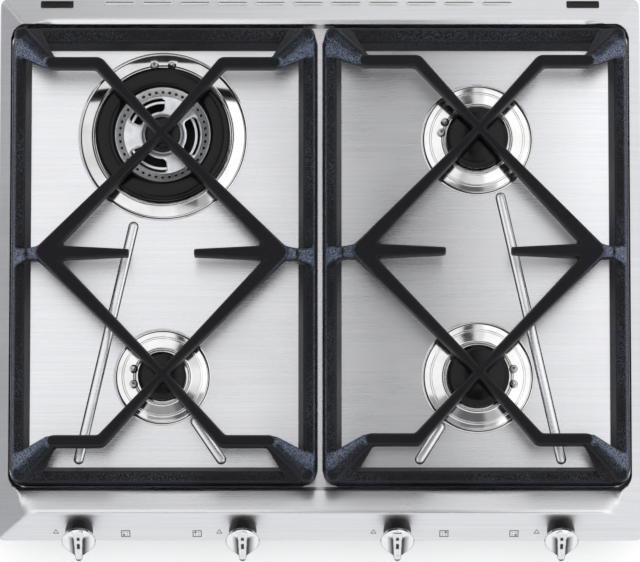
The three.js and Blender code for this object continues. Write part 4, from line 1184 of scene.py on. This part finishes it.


def knob(number, x):
    """Black skirt turned with a groove, and a chromed cover smoothed over its scoops."""
    body = f"knob_{number}"
    skirt = turned(f"knob_skirt_turned_{number}", [
        (4.4, 3.4), (12.4, 3.4, 0.4), (12.8, 4.2, 0.4), (12.8, 16.2, 0.5), (12.1, 16.7, 0.2),
        (12.1, 17.6, 0.2), (11.6, 18.0, 0.2), (4.4, 18.0),
    ], 0, 0, PLASTIC, 64, closed=True)
    # It is made upright at the origin, and leant onto its place on the panel
    at_origin(skirt).data.transform(
        Matrix.Translation(place_point(x, KNOB_Y, KNOB_Z)) @ Matrix.Rotation(PANEL_TILT, 4, "X"))
    show(skirt, f"knob_skirt_{number}", body)
    node = f"knob_cover_{number}"
    mesh = moulded(cad_copy(node), 0.36, 5)
    mark_painted_dark(mesh, x)
    cover = finish_mesh(f"knob_cover_plated_{number}", mesh, CHROME, 180.0)
    show(cover, node, body)


def mark_painted_dark(mesh, x):
    """Stores how deep each point of a cover lies in a scoop or in the blade's groove, for
    a painted dark reflection in the chrome there; the cover's steep rim gets it too."""
    upright = Matrix.Rotation(-PANEL_TILT, 4, "X") @ Matrix.Translation(
        -Vector(place_point(x, KNOB_Y, KNOB_Z)))
    chrome_painted_dark = []
    for vertex in mesh.vertices:
        spot = upright @ vertex.co / MM
        along = (spot.y + COVER_R) / (2 * COVER_R)
        gap = abs(spot.x) - BLADE_TIP_HALF - (BLADE_REAR_HALF - BLADE_TIP_HALF) * along
        deep = 0.0
        if gap > -0.3:
            fade = clamp((SCOOP_END - spot.y) / 3)
            deep = clamp(1.25 - gap / SCOOP_WIDTHS[spot.x > 0]) * fade
        elif spot.z > COVER_FACE:
            inside = clamp(2.2 - 2.2 * abs(spot.x) / GROOVE_HALF)
            for at, half in GROOVE_SPOTS:
                deep = max(deep, inside * clamp((half - abs(spot.y - at)) / 1.2 + 0.5))
        rim = clamp((math.hypot(spot.x, spot.y) - COVER_R + 0.9) / 0.5) * 0.85
        chrome_painted_dark.append(max(deep * 0.95, rim if spot.y <= RIM_TO else 0.0))
    store(mesh, "chrome_painted_dark", chrome_painted_dark)


# ---- Marks on the panel, lid sockets and vents ----
MARK_PROUD = 0.12
MARK_LINE = 0.72


def panel_strip(points, faces, corners):
    """Adds a thin flat plate on the sloping panel; corners are (across, up) in mm."""
    slope = Vector((0, math.cos(PANEL_TILT), math.sin(PANEL_TILT)))
    normal = Vector((0, -math.sin(PANEL_TILT), math.cos(PANEL_TILT)))
    start = len(points)
    for lift in (-0.3, MARK_PROUD):
        for u, v in corners:
            points.append(tuple(Vector((u, -HALF_D, 0)) + slope * v + normal * lift))
    n = len(corners)
    faces.append(tuple(range(start + n, start + 2 * n)))
    faces.append(tuple(reversed(range(start, start + n))))
    for k in range(n):
        m = (k + 1) % n
        faces.append((start + k, start + m, start + n + m, start + n + k))


def outline(points, faces, corners):
    """Adds a closed outline of strips inside a polygon that runs anticlockwise."""
    middle = Vector((sum(c[0] for c in corners), sum(c[1] for c in corners))) / len(corners)
    inner = []
    for corner in corners:
        reach = Vector(corner) - middle
        inner.append(tuple(middle + reach * (1 - MARK_LINE * 1.5 / reach.length)))
    for k in range(len(corners)):
        n = (k + 1) % len(corners)
        panel_strip(points, faces, [corners[k], corners[n], inner[n], inner[k]])


def panel_marks():
    """A flame triangle left of each knob, and a square that shows which burner it feeds."""
    points, faces = [], []
    for knob_x, square_x, burner in zip(
        KNOB_XS, (-180.3, -114, 115, 180), ((-1, -1), (-1, 1), (1, 1), (1, -1)),
    ):
        x, v = knob_x - 22.0, 11.2
        outline(points, faces, [(x - 2.8, v - 2.4), (x + 2.8, v - 2.4), (x, v + 3.0)])
        x, v = square_x, 8.6
        outline(points, faces, [
            (x - 4.2, v - 4), (x + 4.2, v - 4), (x + 4.2, v + 4), (x - 4.2, v + 4)])
        for sx in (-1, 1):
            for sy in (-1, 1):
                size = 1.1 if (sx, sy) == burner else 0.5
                turns = [math.tau * k / 12 for k in range(12)]
                panel_strip(points, faces, [
                    (x + sx * 1.6 + size * math.cos(turn), v + sy * 1.6 + size * math.sin(turn))
                    for turn in turns
                ])
    show(mesh_piece("panel_marks", points, faces, INK, 20), "hob_top")


def lid_sockets():
    """Black moulded bezels in the ledge, which take a glass lid's hinges."""
    half_l, half_w, arcs = SOCKET_L / 2, SOCKET_W / 2, 6
    rings = (
        (half_l + 1.4, half_w + 0.9, 0.1), (half_l + 1.2, half_w + 0.8, 0.5),
        (half_l - 0.6, half_w - 0.5, 0.6), (half_l - 1.0, half_w - 0.8, 0.2),
        (half_l - 1.6, half_w - 1.2, -1.6), (half_l - 1.8, half_w - 1.3, -1.7),
    )
    count = 4 * (arcs + 1)
    faces = list(bands(len(rings), count))
    faces.append(tuple(reversed(range((len(rings) - 1) * count, len(rings) * count))))
    faces.append(tuple(range(count)))
    for side, x in zip(("left", "right"), SOCKET_XS):
        points = []
        for half_x, half_y, lift in rings:
            for px, py in rect_loop(half_x, half_y, min(1.2, half_y * 0.9), arcs):
                y = SOCKET_Y + py
                points.append((x + px, y, (HALF_D - y) / REAR_RUN + lift))
        bezel = outward(mesh_piece(f"lid_socket_{side}", points, faces, PLASTIC, 30), 30)
        show(bezel, "hob_top")


def vent_lips(row):
    """The rolled lip that the press leaves round each vent slot in the ledge."""
    section = (
        (-0.1, -0.9), (-0.1, 0.1), (0.1, 0.75), (0.5, 0.95), (0.95, 0.6), (1.3, 0.0),
        (1.3, -0.4),
    )
    loops = [
        rect_loop(VENT_L / 2 + out, VENT_W / 2 + out, VENT_W / 2 + out, 5)
        for out, lift in section
    ]
    points, faces = [], []
    count, wide = len(loops[0]), len(section)
    for k in range(count):
        n = (k + 1) % count
        for j, (out, lift) in enumerate(section):
            m = (j + 1) % wide
            px, py = loops[j][k]
            points.append((px, py, -py / REAR_RUN + lift))
            faces.append((k * wide + j, n * wide + j, n * wide + m, k * wide + m))
    lip = outward(mesh_piece("vent_lip", points, faces, STEEL, 60))
    lips = repeat("vent_lips", row, at_origin(lip), {
        "Count": len(VENT_XS),
        "Start": place_point(VENT_XS[0], VENT_Y, (HALF_D - VENT_Y) / REAR_RUN),
        "Pitch": ((VENT_XS[1] - VENT_XS[0]) * MM, 0, 0),
    }, STEEL, 60)
    show(lay_out(lips), "hob_top")


# ---- Case under the worktop ----
CASE_HALF_W = 278.0
CASE_HALF_D = 239.0
CASE_R = 12.0
LOUVRE_L = 26.0
LOUVRE_H = 5.0
LOUVRE_OUT = 2.4


def press_case():
    """The tray as pressed: a bead round its wall and two swages round its floor. The
    profile gives the inset from the wall and the height over the tray's underside."""
    profile = rounded([
        (0, 44.1), (0, 27, 2.0), (-1.3, 25, 1.5), (-1.3, 17, 1.5), (0, 15, 2.0), (0, 2.2, 4.0),
        (3.5, 1.0, 2.0), (22, 1.0, 1.5), (24, 0.1, 1.0), (34, 0.1, 1.0), (36, 1.0, 1.5),
        (92, 1.0, 1.5), (94, 0.1, 1.0), (106, 0.1, 1.0), (108, 1.0, 1.5), (190, 1.0),
    ], 3)
    points = []
    for inset, z in profile:
        loop = rect_loop(CASE_HALF_W - inset, CASE_HALF_D - inset, max(CASE_R - inset, 8.0), 8)
        points += [(x, y, z - WORKTOP) for x, y in loop]
    count = len(loop)
    faces = list(bands(len(profile), count))
    faces.append(tuple(reversed(range(len(points) - count, len(points)))))
    return sheet(mesh_piece("pressed_case", points, faces, ZINC, 30), 0.8, ZINC, 30)


def louvre():
    """One louvre pressed out of the wall, open at its lower edge; it faces +y."""
    across, up = 14, 6
    us = [LOUVRE_L * (i / across - 0.5) for i in range(across + 1)]
    points, faces = [], []
    for j in range(up + 1):
        for u in us:
            bulge = max(1 - (2 * u / LOUVRE_L) ** 4, 0.0) ** 0.5
            out = LOUVRE_OUT * bulge * math.cos(math.pi / 2 * j / up)
            points.append((u, out + 0.05, LOUVRE_H * j / up))
    points += [(u, -0.3, 0.0) for u in us]
    row = across + 1
    for j in range(up):
        for a in range(j * row, j * row + across):
            faces.append((a, a + 1, a + 1 + row, a + row))
    base = (up + 1) * row
    faces += [(base + i, base + i + 1, i + 1, i) for i in range(across)]
    return at_origin(outward(mesh_piece("louvre", points, faces, ZINC, 40)))


def screw():
    """Pan-head screw with a cross recess; its head faces +x."""
    head = turned("screw", [
        (0, 0), (3.4, 0), (3.4, 0.7, 0.3), (2.6, 1.9, 0.8), (0, 2.2),
    ], 0, 0, SPINDLE, 28)
    cutters = [
        mesh_piece("recess", [
            (a * x, b * y, z) for z in (1.2, 4) for a, b in ((-1, -1), (1, -1), (1, 1), (-1, 1))
        ], [
            (3, 2, 1, 0), (4, 5, 6, 7), (0, 1, 5, 4), (1, 2, 6, 5), (2, 3, 7, 6), (3, 0, 4, 7),
        ], SPINDLE)
        for x, y in ((1.5, 0.28), (0.28, 1.5))
    ]
    at_origin(cut(head, cutters, SPINDLE)).data.transform(Matrix.Rotation(math.pi / 2, 4, "Y"))
    return head


def case_details(row):
    """Louvres along the front and rear walls, and screws along the side walls."""
    for name, side, pattern, sharp, count, start, pitch, material, slot in (
        ("louvres_front", -1, louvre, 40, 9, (-200, -CASE_HALF_D, -12), (50, 0),
         ZINC, "galvanised"),
        ("louvres_rear", 1, louvre, 40, 9, (-200, CASE_HALF_D, -12), (50, 0),
         ZINC, "galvanised"),
        ("screws_left", -1, screw, 38, 4, (-CASE_HALF_W, -195, -9), (0, 130),
         SPINDLE, "spindle_steel"),
        ("screws_right", 1, screw, 38, 4, (CASE_HALF_W, -195, -9), (0, 130),
         SPINDLE, "spindle_steel"),
    ):
        piece = pattern()
        if side < 0:
            piece.data.transform(Matrix.Rotation(math.pi, 4, "Z"))
        show(repeat(f"case_{name}", row, piece, {
            "Count": count, "Start": place_point(*start),
            "Pitch": (pitch[0] * MM, pitch[1] * MM, 0),
        }, material, sharp), "bottom_case")


THREAD_R = 8.8
THREAD_PITCH = 1.8
BORE_R = 5.6
HEX_L = 10.0


def gas_union():
    """Brass union: a chamfered hexagon in the case and a threaded tail behind it."""
    low, high = (Vector(corner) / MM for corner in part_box("gas_inlet_union"))
    length, hex_r = high.y - low.y, (high.z - low.z) / 2
    root = THREAD_R - 1.0
    nut = turned("union_hexagon", [
        (root - 0.2, 0), (hex_r - 0.9, 0), (hex_r, 0.8), (hex_r, HEX_L - 0.8),
        (hex_r - 0.9, HEX_L), (root - 0.2, HEX_L),
    ], 0, 0, BRASS, 6, closed=True)
    ridges = [(BORE_R, 0.2), (root, 0.2)]
    for k in range(int((length - 2) / THREAD_PITCH)):
        foot = 0.6 + k * THREAD_PITCH
        ridges += [(root, foot), (THREAD_R, foot + THREAD_PITCH * 0.4),
                   (THREAD_R, foot + THREAD_PITCH * 0.6)]
    ridges += [(root, length - 1.2), (root - 0.4, length), (BORE_R + 0.5, length),
               (BORE_R, length - 0.6)]
    tail = turned("union_thread", ridges, 0, 0, BRASS, 48, closed=True, sharp=25)
    middle = Vector(((low.x + high.x) / 2, low.y, (low.z + high.z) / 2))
    for made in (nut, tail):
        at_origin(made).data.transform(
            Matrix.Translation(middle * MM) @ Matrix.Rotation(-math.pi / 2, 4, "X")
            @ Matrix.Rotation(math.pi / 2, 4, "Z"))
        show(made, "gas_inlet_union")


# ---- The hob ----
def dress(node, material):
    """Gives a CAD node that keeps its shape its finish."""
    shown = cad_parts[node]
    shown.data.materials.clear()
    shown.data.materials.append(material)


show(press_top(), "hob_top")
show(press_ribs(), "hob_top")
for side in ("left", "right"):
    cast_support(side)

ports = port_tree()
spin = copy_tree("spun pattern", {"Count": "Int", "Centre": "Vector"}, spun)
row = copy_tree(
    "row of a pattern", {"Count": "Int", "Start": "Vector", "Pitch": "Vector"}, rowed)
for tag, burner in BURNERS.items():
    x, y, crown = burner["x"], burner["y"], burner["crown"]
    burner_plate(tag, burner)
    spark_parts(tag, burner)
    if tag != "rear_left":
        burner_head(tag, x, y, crown, burner["ports"], ports)
        height = 6.5 if tag == "front_left" else 7.0
        dome_cap(
            f"domed_cap_{tag}", f"burner_cap_{tag}", x, y, burner["cap"], height, crown - 6)
x, y = BURNERS["rear_left"]["x"], BURNERS["rear_left"]["y"]
ring_cap(x, y)
dome_cap("domed_cap_inner", "inner_cap_rear_left", x, y, 16.8, 5.0, 10)
large_burner(x, y, ports, spin)
panel_marks()
lid_sockets()
vent_lips(row)

for number, x in enumerate(KNOB_XS, 1):
    knob(number, x)
    dress(f"tap_spindle_{number}", SPINDLE)
    dress(f"tap_plug_{number}", BRASS)
    dress(f"tap_body_{number}", BRASS)

show(press_case(), "bottom_case")
case_details(row)
gas_union()
for node, material in (
    ("worktop_seal", FOAM), ("gas_rail", ZINC), ("mains_gland", PLASTIC),
    ("ignition_generator", PLASTIC), ("rail_bracket", ZINC),
):
    dress(node, material)
for tag in BURNERS:
    dress(f"injector_cup_{tag}", CUP)
    dress(f"supply_pipe_{tag}", TUBE)


# ---- Studio ----
FLOOR_HALF = 6.0        # studio lengths in metres
CARD_Z = 1.22
LAMP_Z = 1.2
CAMERA_AWAY = 4.5
CAMERA_LEAN = math.radians(7.0)     # of its place, and of the way it looks
CAMERA_TILT = math.radians(6.4)
CAMERA_LENS = 4833.4 / 640          # focal length over the picture's width
SENSOR = 36


def stand(name, corners, material):
    """A flat studio piece that isn't part of the object."""
    mesh = bpy.data.meshes.new(name)
    mesh.from_pydata(corners, [], [(0, 1, 2, 3)])
    mesh.materials.append(material)
    made = linked(name, mesh)
    return made


def seen_straight(tree):
    """1 for the camera and in polished metal and glass, 0 for light on matte things."""
    path = add(tree, "ShaderNodeLightPath").outputs
    seen = calc(tree, path["Is Camera Ray"], path["Is Glossy Ray"], "MAXIMUM")
    return calc(tree, seen, path["Is Transmission Ray"], "MAXIMUM")


def studio():
    """A pale floor, a white surround, soft lamps above, and the camera."""
    scene = bpy.context.scene
    scene.view_settings.view_transform = "Standard"
    low, far = -0.3 * MM, FLOOR_HALF
    material, tree, shader, place = start_material("plain pale floor", Roughness=0.9)
    coat(tree, shader, blend(tree, grain(tree, place, 300), "F2F2F2", "F8F8F8"))
    # White to the camera and in polished metal, as the surround is, but keeps shadows
    shader.inputs["Emission Color"].default_value = (1, 1, 1, 1)
    lift = calc(tree, seen_straight(tree), 0.38)
    tree.links.new(lift, shader.inputs["Emission Strength"])
    stand("floor", [(-far, -far, low), (far, -far, low), (far, far, low), (-far, far, low)],
          material)

    scene.world = bpy.data.worlds.new("surround")
    scene.world.use_nodes = True
    tree = scene.world.node_tree
    tree.nodes.clear()
    plain, white = (
        add(tree, "ShaderNodeBackground", {"Color": colour, "Strength": strength}).outputs[0]
        for colour, strength in (((0.98, 0.99, 1.0, 1), 0.72), ((1, 1, 1, 1), 1.0))
    )
    mixed = add(tree, "ShaderNodeMixShader", {0: seen_straight(tree), 1: plain, 2: white})
    add(tree, "ShaderNodeOutputWorld", {"Surface": mixed.outputs[0]})

    for name, x, size, glow in (
        ("left softbox", -0.50, (0.96, 1.7), 0.25), ("right softbox", 0.78, (1.04, 1.7), 0.42),
    ):
        light = bpy.data.lights.new(name, "AREA")
        light.shape = "RECTANGLE"
        light.size, light.size_y = size
        light.energy = glow * math.pi * size[0] * size[1]
        lamp = linked(name, light)
        lamp.location = (x, 0.1, LAMP_Z)
        lamp.rotation_euler = Vector((0, 0, -1)).to_track_quat("-Z", "Y").to_euler()

    # Dark studio beyond the lamps: grey cards that show in polished metal alone
    papers = {}
    for tone, dark, light in (
        ("dark", "3A3A3C", "424244"), ("mid", "77777A", "808083"), ("light", "A8A8AB", "B0B0B3"),
    ):
        paper, tree, shader, place = start_material(f"{tone} grey studio card", Roughness=0.9)
        coat(tree, shader, blend(tree, grain(tree, place, 400), dark, light))
        papers[tone] = paper
    for name, tone, (x0, y0, z0), (x1, y1, z1) in (
        ("overhead card", "dark", (0.02, -0.1, CARD_Z), (0.145, 1.2, CARD_Z)),
        ("front card", "mid", (-0.4, -0.6, CARD_Z), (0.42, -0.2, CARD_Z)),
        ("left card", "light", (-2.4, -1.6, 0), (-2.4, 1.6, 1.6)),
        ("rear card", "dark", (-1.9, 1.6, 0.3), (-0.15, 1.6, 0.95)),
    ):
        middle = (x0, y1, z0) if x0 == x1 else (x1, y0, z0)
        last = (x0, y0, z1) if x0 == x1 else (x0, y1, z1)
        card = stand(name, [(x0, y0, z0), middle, (x1, y1, z1), last], papers[tone])
        card.visible_camera = card.visible_shadow = card.visible_diffuse = False

    # The photograph was taken from far above, a little to the front
    camera = linked("camera", bpy.data.cameras.new("camera"))
    camera.location = (
        0, -CAMERA_AWAY * math.sin(CAMERA_LEAN),
        CAMERA_AWAY * math.cos(CAMERA_LEAN) + 0.02 + WORKTOP * MM,
    )
    camera.rotation_euler = (CAMERA_TILT, 0, 0)
    camera.data.sensor_width = SENSOR
    camera.data.lens = CAMERA_LENS * SENSOR
    camera.data.shift_y = 0.055
    camera.data.clip_end = 50
    scene.camera = camera


studio()
